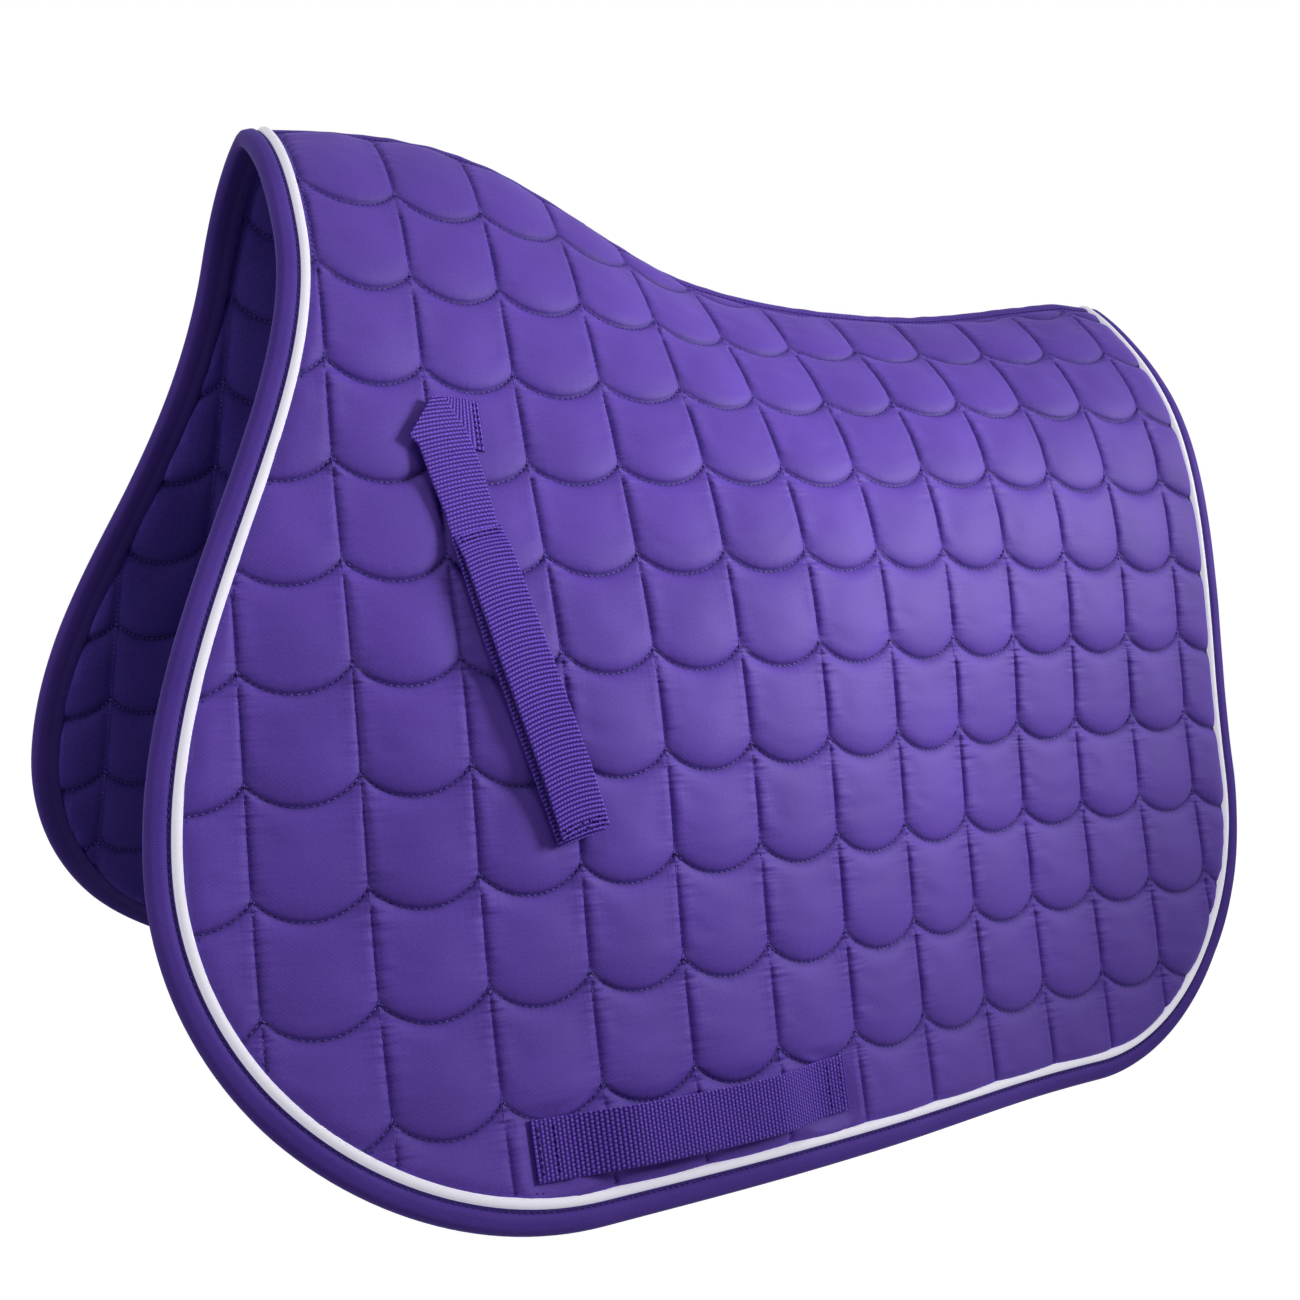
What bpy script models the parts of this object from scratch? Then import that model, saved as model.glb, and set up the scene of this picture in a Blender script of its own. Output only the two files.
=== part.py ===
# Quilted saddle pad, built the way it is sewn: every piece is laid out flat,
# in metres from the first quilting seam, and then draped over the spine.
# Flat X runs towards the tail, flat Y runs up towards the spine, flat Z is outward.

import math
from functools import lru_cache

import bpy
import bmesh
import numpy as np
from mathutils import Matrix, Vector

# Quilting
COLUMN_PITCH = 0.050
ROW_PITCH = 0.050
SCALLOP_SHOULDER = 0.22
SHOULDER_SAG = 0.010
PUFF_CROWN = 0.0055
LINING_CROWN = 0.0035
LEAST_PUFF = 0.45

# Cutting pattern, measured at the piping line
FRONT_EDGE_X = 0.045
LOBE_START = 0.085
LOBE_REACH = 0.075
LOBE_DEPTH = 0.385
FRONT_CORNER_LENGTH = 0.172
REAR_CORNER_LENGTH = 0.140
REAR_CORNER_HEIGHT = 0.160
REAR_EDGE_X = 0.628
HEM_DEPTH = 0.548

# Drape: slope of the flap below the horizontal, in degrees, one row for each section
SECTION_X = (0.0, 0.15, 0.30, 0.45, 0.60)
SLOPE_AT = (0.0, 0.075, 0.15, 0.25, 0.375, 0.55)
SLOPES = (
    (13, 47, 77, 71, 72, 57),
    (32, 58, 64, 62, 75, 66),
    (37, 43, 53, 72, 77, 68),
    (32, 39, 62, 80, 76, 72),
    (32, 46, 68, 79, 75, 80),
)
SPINE_DEPTH = (-0.010, -0.005, 0.040, 0.0525, 0.040)
SPINE_MITRE = 0.030
PROFILE_STEP = 0.004
PROFILE_END = 0.68

# Layers, as heights above the middle of the pad
SEWING_GAP = 0.0003
LAYER_GAP = 0.0010
WADDING_THICKNESS = 0.0022
RIM_THICKNESS = 0.0008
SHELL_THICKNESS = 0.0018
LINING_THICKNESS = 0.0018

# Edge binding, piping and spine binding
BINDING_WIDTH = 0.0132
BINDING_WALL = 0.0026
BINDING_SHOULDER = 0.0040
WADDING_TUCK = 0.0080
PIPING_RADIUS = 0.0022
PIPING_LIFT = 0.0042
SPINE_TAPE_WIDTH = 0.011
FOOT_CUT = 0.0005

# Billet straps, one on each flap
WEBBING_WIDTH = 0.025
WEBBING_THICKNESS = 0.0015
TAPE_THICKNESS = 0.0010
STRAP_X = 0.1052
STRAP_Y = 0.2000
STRAP_LEAN = 13.0
UNDER_LEG_LENGTH = 0.194
COVER_START = 0.042
COVER_LENGTH = 0.150
TAPE_MARGIN = 0.012
ANCHOR_SEAM_X = 0.1262
ANCHOR_TOP_X = 0.1005
ANCHOR_TOP_Y = 0.1690
ANCHOR_TIP_X = 0.0855
ANCHOR_TIP_Y = 0.1920

# Girth loops, one on each flap
LOOP_START_X = 0.111
LOOP_LENGTH = 0.177
LOOP_HEM_MARGIN = 0.023
LOOP_WIDTH = 0.027
LOOP_THICKNESS = 0.0018
LOOP_TAB = 0.014
LOOP_BOW = 0.0115

# Resolution of the swept and cut pieces
EDGE_STEP = 0.030
HEM_STEP = 0.072
CORNER_STEPS = 7
STRAP_STEP = 0.024
LOOP_STEPS = 10
WITHERS_COLUMNS = 4
WITHERS_ROWS = 3
MERGE_DISTANCE = 0.000001
SLIVER = 0.0004

TWILL = (0x5C, 0x45, 0xA8)
BRUSHED = (0x3B, 0x28, 0x7E)
BINDING = (0x52, 0x3C, 0x98)
WHITE = (0xEE, 0xEE, 0xF0)
FIBRE = (0xE4, 0xE2, 0xDA)
WEBBING = (0x54, 0x3C, 0xA4)
DARK_WEBBING = (0x3E, 0x2C, 0x86)

HALF_WADDING = WADDING_THICKNESS / 2
COVER_BASE = HALF_WADDING + LAYER_GAP
STITCH_LEVEL = COVER_BASE + SHELL_THICKNESS
PUFF_TOP = STITCH_LEVEL + PUFF_CROWN
LOBE_X = FRONT_EDGE_X - LOBE_REACH
RIM_DEPTH = HEM_DEPTH + BINDING_WIDTH
LOOP_Y = HEM_DEPTH - LOOP_HEM_MARGIN


def smooth(t):
    t = min(max(t, 0.0), 1.0)
    return t * t * (3 - 2 * t)


def curve_through(stations, values, t):
    """Smooth curve through the values, read at t."""
    stations = np.asarray(stations, float)
    values = np.asarray(values, float)
    t = min(max(t, stations[0]), stations[-1])
    i = min(max(int(np.searchsorted(stations, t)) - 1, 0), len(stations) - 2)
    slopes = np.gradient(values, stations)
    span = stations[i + 1] - stations[i]
    a = (t - stations[i]) / span
    start = (2 * a**3 - 3 * a**2 + 1) * values[i] + (a**3 - 2 * a**2 + a) * span * slopes[i]
    end = (3 * a**2 - 2 * a**3) * values[i + 1] + (a**3 - a**2) * span * slopes[i + 1]
    return start + end


def spine_y(x):
    """Flat depth of the spine seam at x."""
    return curve_through(SECTION_X, SPINE_DEPTH, x)


@lru_cache(maxsize=None)
def cross_section(x):
    """Distances below the seam, with how far out, how low and how steep the flap is there."""
    slopes = [curve_through(SECTION_X, column, x) for column in zip(*SLOPES)]
    distance = np.arange(0.0, PROFILE_END, PROFILE_STEP)
    steepness = np.radians([curve_through(SLOPE_AT, slopes, s) for s in distance])
    middle = (steepness[1:] + steepness[:-1]) / 2
    out = np.concatenate([[0.0], np.cumsum(np.cos(middle))]) * PROFILE_STEP
    down = np.concatenate([[0.0], np.cumsum(np.sin(middle))]) * PROFILE_STEP
    hem = np.interp(RIM_DEPTH - spine_y(x), distance, down)
    return distance, out, hem - down, steepness


def draped(x, depth, lift):
    """Place of a flat point on the near flap, before the pad is stood on its hems."""
    distance, out, height, steepness = cross_section(round(x, 5))
    s = max(depth - spine_y(x), 0.0)
    tilt = np.interp(s, distance, steepness) * smooth(s / SPINE_MITRE)
    y = -SEWING_GAP / 2 - np.interp(s, distance, out) - lift * math.sin(tilt)
    z = np.interp(s, distance, height) + lift * math.cos(tilt)
    return Vector((x, y, z))


def edge_path():
    """Piping line from the spine at the front, round the flap, to the spine at the rear."""
    points = []
    front_top = spine_y(FRONT_EDGE_X)
    count = round((LOBE_DEPTH - front_top) / EDGE_STEP)
    for i in range(count):
        depth = front_top + (LOBE_DEPTH - front_top) * i / count
        turn = (depth - LOBE_START) / (LOBE_DEPTH - LOBE_START)
        turn = min(max(turn, 0.0), 1.0)
        points.append((FRONT_EDGE_X - LOBE_REACH * (1 - math.cos(math.pi * turn)) / 2, depth))
    for i in range(CORNER_STEPS + 1):
        a = math.pi / 2 * i / CORNER_STEPS
        x = LOBE_X + FRONT_CORNER_LENGTH * (1 - math.cos(a))
        points.append((x, LOBE_DEPTH + (HEM_DEPTH - LOBE_DEPTH) * math.sin(a)))
    hem_start = points[-1][0]
    hem_end = REAR_EDGE_X - REAR_CORNER_LENGTH
    count = round((hem_end - hem_start) / HEM_STEP)
    for i in range(1, count):
        points.append((hem_start + (hem_end - hem_start) * i / count, HEM_DEPTH))
    corner_top = HEM_DEPTH - REAR_CORNER_HEIGHT
    for i in range(CORNER_STEPS + 1):
        a = math.pi / 2 * i / CORNER_STEPS
        x = hem_end + REAR_CORNER_LENGTH * math.sin(a)
        points.append((x, corner_top + REAR_CORNER_HEIGHT * math.cos(a)))
    rear_top = spine_y(REAR_EDGE_X)
    count = round((corner_top - rear_top) / EDGE_STEP)
    for i in range(1, count + 1):
        points.append((REAR_EDGE_X, corner_top + (rear_top - corner_top) * i / count))
    return [Vector((x, -depth)) for x, depth in points]


def outward_normals(points):
    """Unit normals of an open flat path, pointing away from the quilted panel."""
    normals = []
    for i in range(len(points)):
        along = points[min(i + 1, len(points) - 1)] - points[max(i - 1, 0)]
        normals.append(Vector((along.y, -along.x)).normalized())
    normals[0] = Vector((-1.0, 0.0))
    normals[-1] = Vector((1.0, 0.0))
    return normals


def panel_outline(offset, spine_margin):
    """Closed flat outline: the piping line moved out by offset, cut along the spine."""
    path = edge_path()
    moved = [p + n * offset for p, n in zip(path, outward_normals(path))]
    below = [p for p in moved if -p.y > spine_y(p.x) + spine_margin + EDGE_STEP / 4]
    first_x, last_x = moved[0].x, moved[-1].x
    count = round((last_x - first_x) / EDGE_STEP)
    top = []
    for i in range(count + 1):
        x = last_x + (first_x - last_x) * i / count
        top.append(Vector((x, -spine_y(x) - spine_margin)))
    return below + top


def new_object(name, mesh):
    obj = bpy.data.objects.new(name, mesh)
    pad.objects.link(obj)
    return obj


def prism(name, outline, low, high):
    """Flat outline with straight walls, from low to high."""
    curve = bpy.data.curves.new(name, "CURVE")
    curve.dimensions = "2D"
    curve.fill_mode = "BOTH"
    curve.extrude = (high - low) / 2
    spline = curve.splines.new("POLY")
    spline.points.add(len(outline) - 1)
    for point, place in zip(spline.points, outline):
        point.co = (place.x, place.y, 0.0, 1.0)
    spline.use_cyclic_u = True
    obj = bpy.data.objects.new(name, curve)
    cutters.objects.link(obj)
    bpy.context.view_layer.update()
    evaluated = obj.evaluated_get(bpy.context.evaluated_depsgraph_get())
    mesh = bpy.data.meshes.new_from_object(evaluated)
    bpy.data.objects.remove(obj)
    bm = bmesh.new()
    bm.from_mesh(mesh)
    bmesh.ops.remove_doubles(bm, verts=bm.verts, dist=MERGE_DISTANCE)
    bmesh.ops.translate(bm, verts=bm.verts, vec=(0, 0, (high + low) / 2))
    bmesh.ops.recalc_face_normals(bm, faces=bm.faces)
    bm.to_mesh(mesh)
    bm.free()
    solid = bpy.data.objects.new(name, mesh)
    solid.hide_render = True
    solid.display_type = "WIRE"
    cutters.objects.link(solid)
    return solid


def quilted_cloth():
    """Flat sheet of cells, each with straight sides and scalloped upper and lower edges."""
    bm = bmesh.new()
    first_column = math.floor((LOBE_X - 2 * BINDING_WIDTH) / COLUMN_PITCH)
    last_column = math.ceil((REAR_EDGE_X + 2 * BINDING_WIDTH) / COLUMN_PITCH)
    first_row = math.floor(min(SPINE_DEPTH) / ROW_PITCH) - 1
    last_row = math.ceil(RIM_DEPTH / ROW_PITCH) + 1
    columns = last_column - first_column
    rows = last_row - first_row
    bmesh.ops.create_grid(bm, x_segments=3 * columns, y_segments=rows, size=1.0)
    shares = (0.0, SCALLOP_SHOULDER, 1.0 - SCALLOP_SHOULDER)
    inner = set()
    for vert in bm.verts:
        third = round((vert.co.x + 1) / 2 * 3 * columns)
        row = round((1 - vert.co.y) / 2 * rows)
        column, part = divmod(third, 3)
        sag = SHOULDER_SAG if part else 0.0
        if part:
            inner.add(vert)
        vert.co.x = (first_column + column + shares[part]) * COLUMN_PITCH
        vert.co.y = -(first_row + row) * ROW_PITCH - sag
    upright = [e for e in bm.edges if e.verts[0] in inner and e.verts[1] in inner
               and abs(e.verts[0].co.x - e.verts[1].co.x) < MERGE_DISTANCE]
    bmesh.ops.dissolve_edges(bm, edges=upright, use_verts=False)
    split_tight_seams(bm)
    bmesh.ops.recalc_face_normals(bm, faces=bm.faces)
    if sum(face.normal.z for face in bm.faces) < 0:
        bmesh.ops.reverse_faces(bm, faces=bm.faces)
    return bm


def split_tight_seams(bm):
    """Extra points and folds half way down the cells that bend hardest, over the withers."""
    last_x = (WITHERS_COLUMNS + 0.5) * COLUMN_PITCH
    last_depth = (WITHERS_ROWS + 0.5) * ROW_PITCH
    added = []
    for edge in list(bm.edges):
        a, b = edge.verts
        straight = abs(a.co.x - b.co.x) < MERGE_DISTANCE
        if straight and a.co.x < last_x and -a.co.y < last_depth:
            added.append(bmesh.utils.edge_split(edge, a, 0.5)[1])
    bmesh.ops.connect_verts(bm, verts=added)


def is_half_way_fold(edge):
    """True for a fold that crosses a cell half way between two rows."""
    a, b = (-vert.co.y / ROW_PITCH for vert in edge.verts)
    return max(abs(a % 1.0 - 0.5), abs(b % 1.0 - 0.5)) < MERGE_DISTANCE / ROW_PITCH


def cut_cloth(name, outline):
    """Quilted cloth cut to an outline: an open sheet of cells at height zero."""
    slab = quilted_cloth()
    sheet = bmesh.ops.extrude_face_region(slab, geom=slab.faces[:])
    raised = [v for v in sheet["geom"] if isinstance(v, bmesh.types.BMVert)]
    bmesh.ops.translate(slab, verts=raised, vec=(0, 0, PUFF_TOP))
    bmesh.ops.recalc_face_normals(slab, faces=slab.faces)
    mesh = bpy.data.meshes.new(name)
    slab.to_mesh(mesh)
    slab.free()
    blank = bpy.data.objects.new(name, mesh)
    cutters.objects.link(blank)
    shape = prism(name + "_outline", outline, -PUFF_TOP, 2 * PUFF_TOP)
    cut = blank.modifiers.new("cut", "BOOLEAN")
    cut.operation = "INTERSECT"
    cut.object = shape
    bpy.context.view_layer.update()
    evaluated = blank.evaluated_get(bpy.context.evaluated_depsgraph_get())
    result = bpy.data.meshes.new_from_object(evaluated)
    bpy.data.objects.remove(blank)
    bpy.data.objects.remove(shape)
    bm = bmesh.new()
    bm.from_mesh(result)
    bm.normal_update()
    middle = PUFF_TOP / 2
    unwanted = [f for f in bm.faces if f.normal.z < 0.9 or f.calc_center_median().z < middle]
    bmesh.ops.delete(bm, geom=unwanted, context="FACES")
    for vert in bm.verts:
        vert.co.z = 0.0
    bmesh.ops.remove_doubles(bm, verts=bm.verts, dist=SLIVER)
    bmesh.ops.dissolve_degenerate(bm, edges=bm.edges, dist=SLIVER)
    return bm


def pressed_flat(place):
    """True where a sewn-down webbing end holds the quilting flat."""
    under_loop = abs(-place.y - LOOP_Y) < LOOP_WIDTH
    along_loop = -COLUMN_PITCH / 2 < place.x - LOOP_START_X < LOOP_LENGTH + COLUMN_PITCH / 2
    return under_loop and along_loop


def layer(cloth, base, thickness, crown, outward):
    """Closed flat solid on the cloth's cells: plain on one side, puffed on the other."""
    bm = cloth.copy()
    bmesh.ops.triangulate(bm, faces=bm.faces)
    bmesh.ops.translate(bm, verts=bm.verts, vec=(0, 0, base))
    bmesh.ops.reverse_faces(bm, faces=bm.faces)
    rim = [e for e in bm.edges if e.is_boundary]
    wall = bmesh.ops.extrude_edge_only(bm, edges=rim)
    raised = [v for v in wall["geom"] if isinstance(v, bmesh.types.BMVert)]
    bmesh.ops.translate(bm, verts=raised, vec=(0, 0, thickness))
    puffs = cloth.copy()
    bmesh.ops.translate(puffs, verts=puffs.verts, vec=(0, 0, base + thickness))
    if crown:
        folds = [e for e in puffs.edges if is_half_way_fold(e) and not e.is_boundary]
        bmesh.ops.dissolve_edges(puffs, edges=folds, use_verts=False)
        whole = COLUMN_PITCH * ROW_PITCH
        wide = [f for f in puffs.faces if f.calc_area() > LEAST_PUFF * whole
                and not (outward > 0 and pressed_flat(f.calc_center_median()))]
        centres = bmesh.ops.poke(puffs, faces=wide)["verts"]
        for vert in centres:
            area = sum(face.calc_area() for face in vert.link_faces)
            vert.co.z += crown * math.sqrt(min(area / whole, 1.0))
    bmesh.ops.triangulate(puffs, faces=puffs.faces)
    mesh = bpy.data.meshes.new("puffs")
    puffs.to_mesh(mesh)
    puffs.free()
    bm.from_mesh(mesh)
    bpy.data.meshes.remove(mesh)
    bmesh.ops.remove_doubles(bm, verts=bm.verts, dist=MERGE_DISTANCE)
    bmesh.ops.triangulate(bm, faces=bm.faces)
    if outward < 0:
        bmesh.ops.scale(bm, verts=bm.verts, vec=(1, 1, -1))
    bmesh.ops.recalc_face_normals(bm, faces=bm.faces)
    return bm


def squeeze_rim(bm, cloth):
    """Wadding thinned where the binding and the spine seam hold it."""
    rim = {(round(v.co.x, 5), round(v.co.y, 5)) for v in cloth.verts if v.is_boundary}
    for vert in bm.verts:
        if (round(vert.co.x, 5), round(vert.co.y, 5)) in rim:
            vert.co.z = math.copysign(RIM_THICKNESS / 2, vert.co.z)


def sweep(stations, profile):
    """Closed flat-space bar: each station turns a profile point into a place."""
    bm = bmesh.new()
    rows = len(profile)
    bmesh.ops.create_grid(bm, x_segments=len(stations) - 1, y_segments=rows, size=1.0)
    for vert in bm.verts:
        i = round((vert.co.x + 1) / 2 * (len(stations) - 1))
        j = round((vert.co.y + 1) / 2 * rows) % rows
        vert.co = stations[i](*profile[j])
    bmesh.ops.remove_doubles(bm, verts=bm.verts, dist=MERGE_DISTANCE)
    open_ends = [e for e in bm.edges if e.is_boundary]
    bmesh.ops.holes_fill(bm, edges=open_ends, sides=0)
    bmesh.ops.triangulate(bm, faces=bm.faces)
    bmesh.ops.recalc_face_normals(bm, faces=bm.faces)
    return bm


def edge_stations():
    """Binding stations: a profile point is a distance outside the piping line and a lift."""
    path = edge_path()
    stations = []
    for place, normal in zip(path, outward_normals(path)):
        def station(across, lift, place=place, normal=normal):
            flat = place + normal * across
            return Vector((flat.x, flat.y, lift))
        stations.append(station)
    return stations


def binding_profile():
    """Folded tape round the edge, open towards the wadding."""
    seat = PIPING_RADIUS + SEWING_GAP
    face = COVER_BASE + BINDING_WALL
    round_start = BINDING_WIDTH - BINDING_SHOULDER
    tuck = WADDING_TUCK + 2 * LAYER_GAP
    return [
        (seat, face - SEWING_GAP), (round_start, face),
        (BINDING_WIDTH, HALF_WADDING), (BINDING_WIDTH, -HALF_WADDING),
        (round_start, -face), (-PIPING_RADIUS, SEWING_GAP - face),
        (-PIPING_RADIUS, -COVER_BASE), (tuck, -COVER_BASE),
        (tuck, COVER_BASE), (seat, COVER_BASE),
    ]


def spine_stations():
    """Spine tape stations: a profile point is a distance below the seam and a lift."""
    start = FRONT_EDGE_X + PIPING_RADIUS + SEWING_GAP
    end = REAR_EDGE_X - PIPING_RADIUS - SEWING_GAP
    count = round((end - start) / EDGE_STEP)
    stations = []
    for i in range(count + 1):
        x = start + (end - start) * i / count
        def station(down, lift, x=x):
            return Vector((x, -spine_y(x) - down, lift))
        stations.append(station)
    return stations


def strap_leg(start, length, lift, thickness, width):
    """Flat strip that leans with the billet strap, from start below its fold."""
    count = max(1, round(length / STRAP_STEP))
    lean = Matrix.Rotation(math.radians(STRAP_LEAN), 3, "Z")
    top = Vector((STRAP_X, -STRAP_Y, 0.0))
    stations = []
    for i in range(count + 1):
        along = start + length * i / count
        def station(across, height, along=along):
            return top + lean @ Vector((across, -along, height))
        stations.append(station)
    half = width / 2
    high = lift + thickness
    return sweep(stations, [(-half, lift), (half, lift), (half, high), (-half, high)])


def strap_anchor():
    """Sewn end of the billet strap, cut to its diagonal fold."""
    lean = math.radians(STRAP_LEAN)
    across = Vector((math.cos(lean), math.sin(lean))) * WEBBING_WIDTH / 2
    back = Vector((-math.sin(lean), math.cos(lean))) * SEWING_GAP
    fold_foot = Vector((STRAP_X, -STRAP_Y)) + back
    outline = [
        Vector((ANCHOR_TIP_X, -ANCHOR_TIP_Y)), fold_foot - across, fold_foot + across,
        Vector((ANCHOR_SEAM_X, -STRAP_Y + WEBBING_WIDTH / 4)), Vector((ANCHOR_SEAM_X, -ANCHOR_TOP_Y)),
        Vector((ANCHOR_TOP_X, -ANCHOR_TOP_Y)),
    ]
    low = PUFF_TOP + SEWING_GAP
    solid = prism("anchor_blank", outline, low, low + WEBBING_THICKNESS)
    bm = bmesh.new()
    bm.from_mesh(solid.data)
    bpy.data.objects.remove(solid)
    return bm


def drape_piece(bm, side):
    """Flat piece bent over the near flap, and mirrored for the off flap."""
    for vert in bm.verts:
        vert.co = draped(vert.co.x, -vert.co.y, vert.co.z) + ORIGIN_SHIFT
        vert.co.y *= -side
    if side > 0:
        bmesh.ops.reverse_faces(bm, faces=bm.faces)


def material(name, colour, roughness):
    mat = bpy.data.materials.new(name)
    mat.use_nodes = True
    shader = mat.node_tree.nodes["Principled BSDF"]
    linear = [((c / 255 + 0.055) / 1.055) ** 2.4 for c in colour]
    shader.inputs["Base Color"].default_value = (*linear, 1.0)
    shader.inputs["Roughness"].default_value = roughness
    shader.inputs["Metallic"].default_value = 0.0
    mat.diffuse_color = (*linear, 1.0)
    return mat


def add_piece(name, bm, mat, holder):
    mesh = bpy.data.meshes.new(name)
    bm.to_mesh(mesh)
    bm.free()
    obj = new_object(name, mesh)
    finish_piece(obj, mat, holder)
    return obj


def finish_piece(obj, mat, holder):
    obj.data.materials.append(mat)
    obj.parent = holder
    obj.matrix_parent_inverse = holder.matrix_world.inverted()


def cut_foot(bm):
    """Flat resting face where the hem stands."""
    geometry = bm.verts[:] + bm.edges[:] + bm.faces[:]
    bmesh.ops.bisect_plane(bm, geom=geometry, dist=MERGE_DISTANCE / 10, plane_co=(0, 0, 0),
                           plane_no=(0, 0, -1), clear_outer=True)
    bmesh.ops.remove_doubles(bm, verts=bm.verts, dist=MERGE_DISTANCE)
    rim = [e for e in bm.edges if e.is_boundary]
    bmesh.ops.holes_fill(bm, edges=rim, sides=0)
    bmesh.ops.triangulate(bm, faces=bm.faces)
    bmesh.ops.recalc_face_normals(bm, faces=bm.faces)


def piping_tube(name, side, mat, holder):
    """Round cord in its cover, laid between the quilting and the binding."""
    path = edge_path()
    curve = bpy.data.curves.new(name, "CURVE")
    curve.dimensions = "3D"
    curve.bevel_depth = PIPING_RADIUS
    curve.bevel_resolution = 1
    curve.use_fill_caps = True
    spline = curve.splines.new("POLY")
    spline.points.add(len(path) - 1)
    setback = 2 * PIPING_RADIUS / 3
    for i, (point, flat) in enumerate(zip(spline.points, path)):
        depth = -flat.y + (setback if i in (0, len(path) - 1) else 0.0)
        place = draped(flat.x, depth, PIPING_LIFT) + ORIGIN_SHIFT
        point.co = (place.x, -side * place.y, place.z, 1.0)
    obj = new_object(name, curve)
    finish_piece(obj, mat, holder)


def girth_loop():
    """Webbing strip sewn down at both ends and bowed off the pad between them."""
    middle = LOOP_START_X + LOOP_LENGTH / 2
    half_length = LOOP_LENGTH / 2
    bow_length = half_length - LOOP_TAB
    places = [-half_length]
    places += [-bow_length + 2 * bow_length * i / LOOP_STEPS for i in range(LOOP_STEPS + 1)]
    places += [half_length]
    stations = []
    for x in places:
        rise = LOOP_BOW * smooth(2 * (1 - abs(x) / bow_length)) if abs(x) < bow_length else 0.0
        def station(across, height, x=x, rise=rise):
            return Vector((middle + x, across - LOOP_Y, STITCH_LEVEL + SEWING_GAP + rise + height))
        stations.append(station)
    half = LOOP_WIDTH / 2
    profile = [(-half, 0.0), (half, 0.0), (half, LOOP_THICKNESS), (-half, LOOP_THICKNESS)]
    return sweep(stations, profile)


def hinge_place(start, lift, side):
    """Point on the crease that a strap leg turns about."""
    lean = math.radians(STRAP_LEAN)
    x = STRAP_X + start * math.sin(lean)
    depth = STRAP_Y + start * math.cos(lean)
    place = draped(x, depth, lift) + ORIGIN_SHIFT
    return Vector((place.x, -side * place.y, place.z))


def empty(name, place, parent=None):
    obj = bpy.data.objects.new(name, None)
    obj.empty_display_size = COLUMN_PITCH
    pad.objects.link(obj)
    obj.location = place
    if parent:
        obj.parent = parent
        obj.location = Vector(place) - parent.matrix_world.translation
    bpy.context.view_layer.update()
    return obj


def standing_shift():
    """Moves the draped pad so that its hems stand on z = 0, centred along its length."""
    corners = [draped(p.x, -p.y, p.z)
               for p in (station(*point) for station in edge_stations() for point in binding_profile())]
    low = min(c.z for c in corners)
    middle = (min(c.x for c in corners) + max(c.x for c in corners)) / 2
    return Vector((-middle, 0.0, -low - FOOT_CUT))


def build_flap(word, side, cloths, looks, holder):
    """One flap with its layers, edges, billet strap and girth loop."""
    cover, inner, batt = cloths
    shell = layer(cover, COVER_BASE, SHELL_THICKNESS, PUFF_CROWN, 1)
    lining = layer(inner, COVER_BASE, LINING_THICKNESS, LINING_CROWN, -1)
    wadding = layer(batt, -HALF_WADDING, WADDING_THICKNESS, 0.0, 1)
    squeeze_rim(wadding, batt)
    binding = sweep(edge_stations(), binding_profile())
    face = COVER_BASE + BINDING_WALL
    tape = sweep(spine_stations(), [(0.0, COVER_BASE), (SPINE_TAPE_WIDTH, COVER_BASE),
                                    (SPINE_TAPE_WIDTH, face), (0.0, face)])
    anchor = strap_anchor()
    loop = girth_loop()
    for bm in (shell, lining, wadding, binding, tape, anchor, loop):
        drape_piece(bm, side)
    cut_foot(binding)
    add_piece(word + "_outer_shell", shell, looks["twill"], holder)
    add_piece(word + "_lining", lining, looks["brushed"], holder)
    add_piece(word + "_wadding", wadding, looks["fibre"], holder)
    add_piece(word + "_edge_binding", binding, looks["binding"], holder)
    add_piece(word + "_spine_binding", tape, looks["binding"], holder)
    add_piece(word + "_strap_anchor", anchor, looks["webbing"], holder)
    piping_tube(word + "_edge_piping", side, looks["white"], holder)
    add_piece(word + "_girth_loop", loop, looks["webbing"], holder)
    build_strap(word, side, looks, holder)


def build_strap(word, side, looks, holder):
    """Billet strap: an under leg, a touch-and-close pair and the cover leg."""
    under_lift = PUFF_TOP + SEWING_GAP
    loop_lift = under_lift + WEBBING_THICKNESS + SEWING_GAP
    hook_lift = loop_lift + TAPE_THICKNESS + SEWING_GAP
    cover_lift = hook_lift + TAPE_THICKNESS + SEWING_GAP
    tape_width = WEBBING_WIDTH - 2 * SEWING_GAP
    tape_length = COVER_LENGTH - 2 * TAPE_MARGIN
    tape_start = COVER_START + TAPE_MARGIN
    crease = hinge_place(0.0, under_lift + WEBBING_THICKNESS, side)
    strap_hinge = empty(word + "_strap_hinge", crease, holder)
    cover_crease = hinge_place(COVER_START, cover_lift + WEBBING_THICKNESS, side)
    cover_hinge = empty(word + "_cover_hinge", cover_crease, strap_hinge)
    legs = (
        ("_strap_under_leg", 0.0, UNDER_LEG_LENGTH, under_lift, WEBBING_THICKNESS,
         WEBBING_WIDTH, "dark_webbing", strap_hinge),
        ("_strap_loop_tape", tape_start, tape_length, loop_lift, TAPE_THICKNESS,
         tape_width, "dark_webbing", strap_hinge),
        ("_strap_hook_tape", tape_start, tape_length, hook_lift, TAPE_THICKNESS,
         tape_width, "dark_webbing", cover_hinge),
        ("_strap_cover_leg", COVER_START, COVER_LENGTH, cover_lift, WEBBING_THICKNESS,
         WEBBING_WIDTH, "webbing", cover_hinge),
    )
    for ending, start, length, lift, thickness, width, look, hinge in legs:
        bm = strap_leg(start, length, lift, thickness, width)
        drape_piece(bm, side)
        add_piece(word + ending, bm, looks[look], hinge)


for old in list(bpy.data.objects):
    bpy.data.objects.remove(old)

pad = bpy.data.collections.new("saddle_pad")
cutters = bpy.data.collections.new("cutters")
bpy.context.scene.collection.children.link(pad)
bpy.context.scene.collection.children.link(cutters)

ORIGIN_SHIFT = standing_shift()

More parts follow.
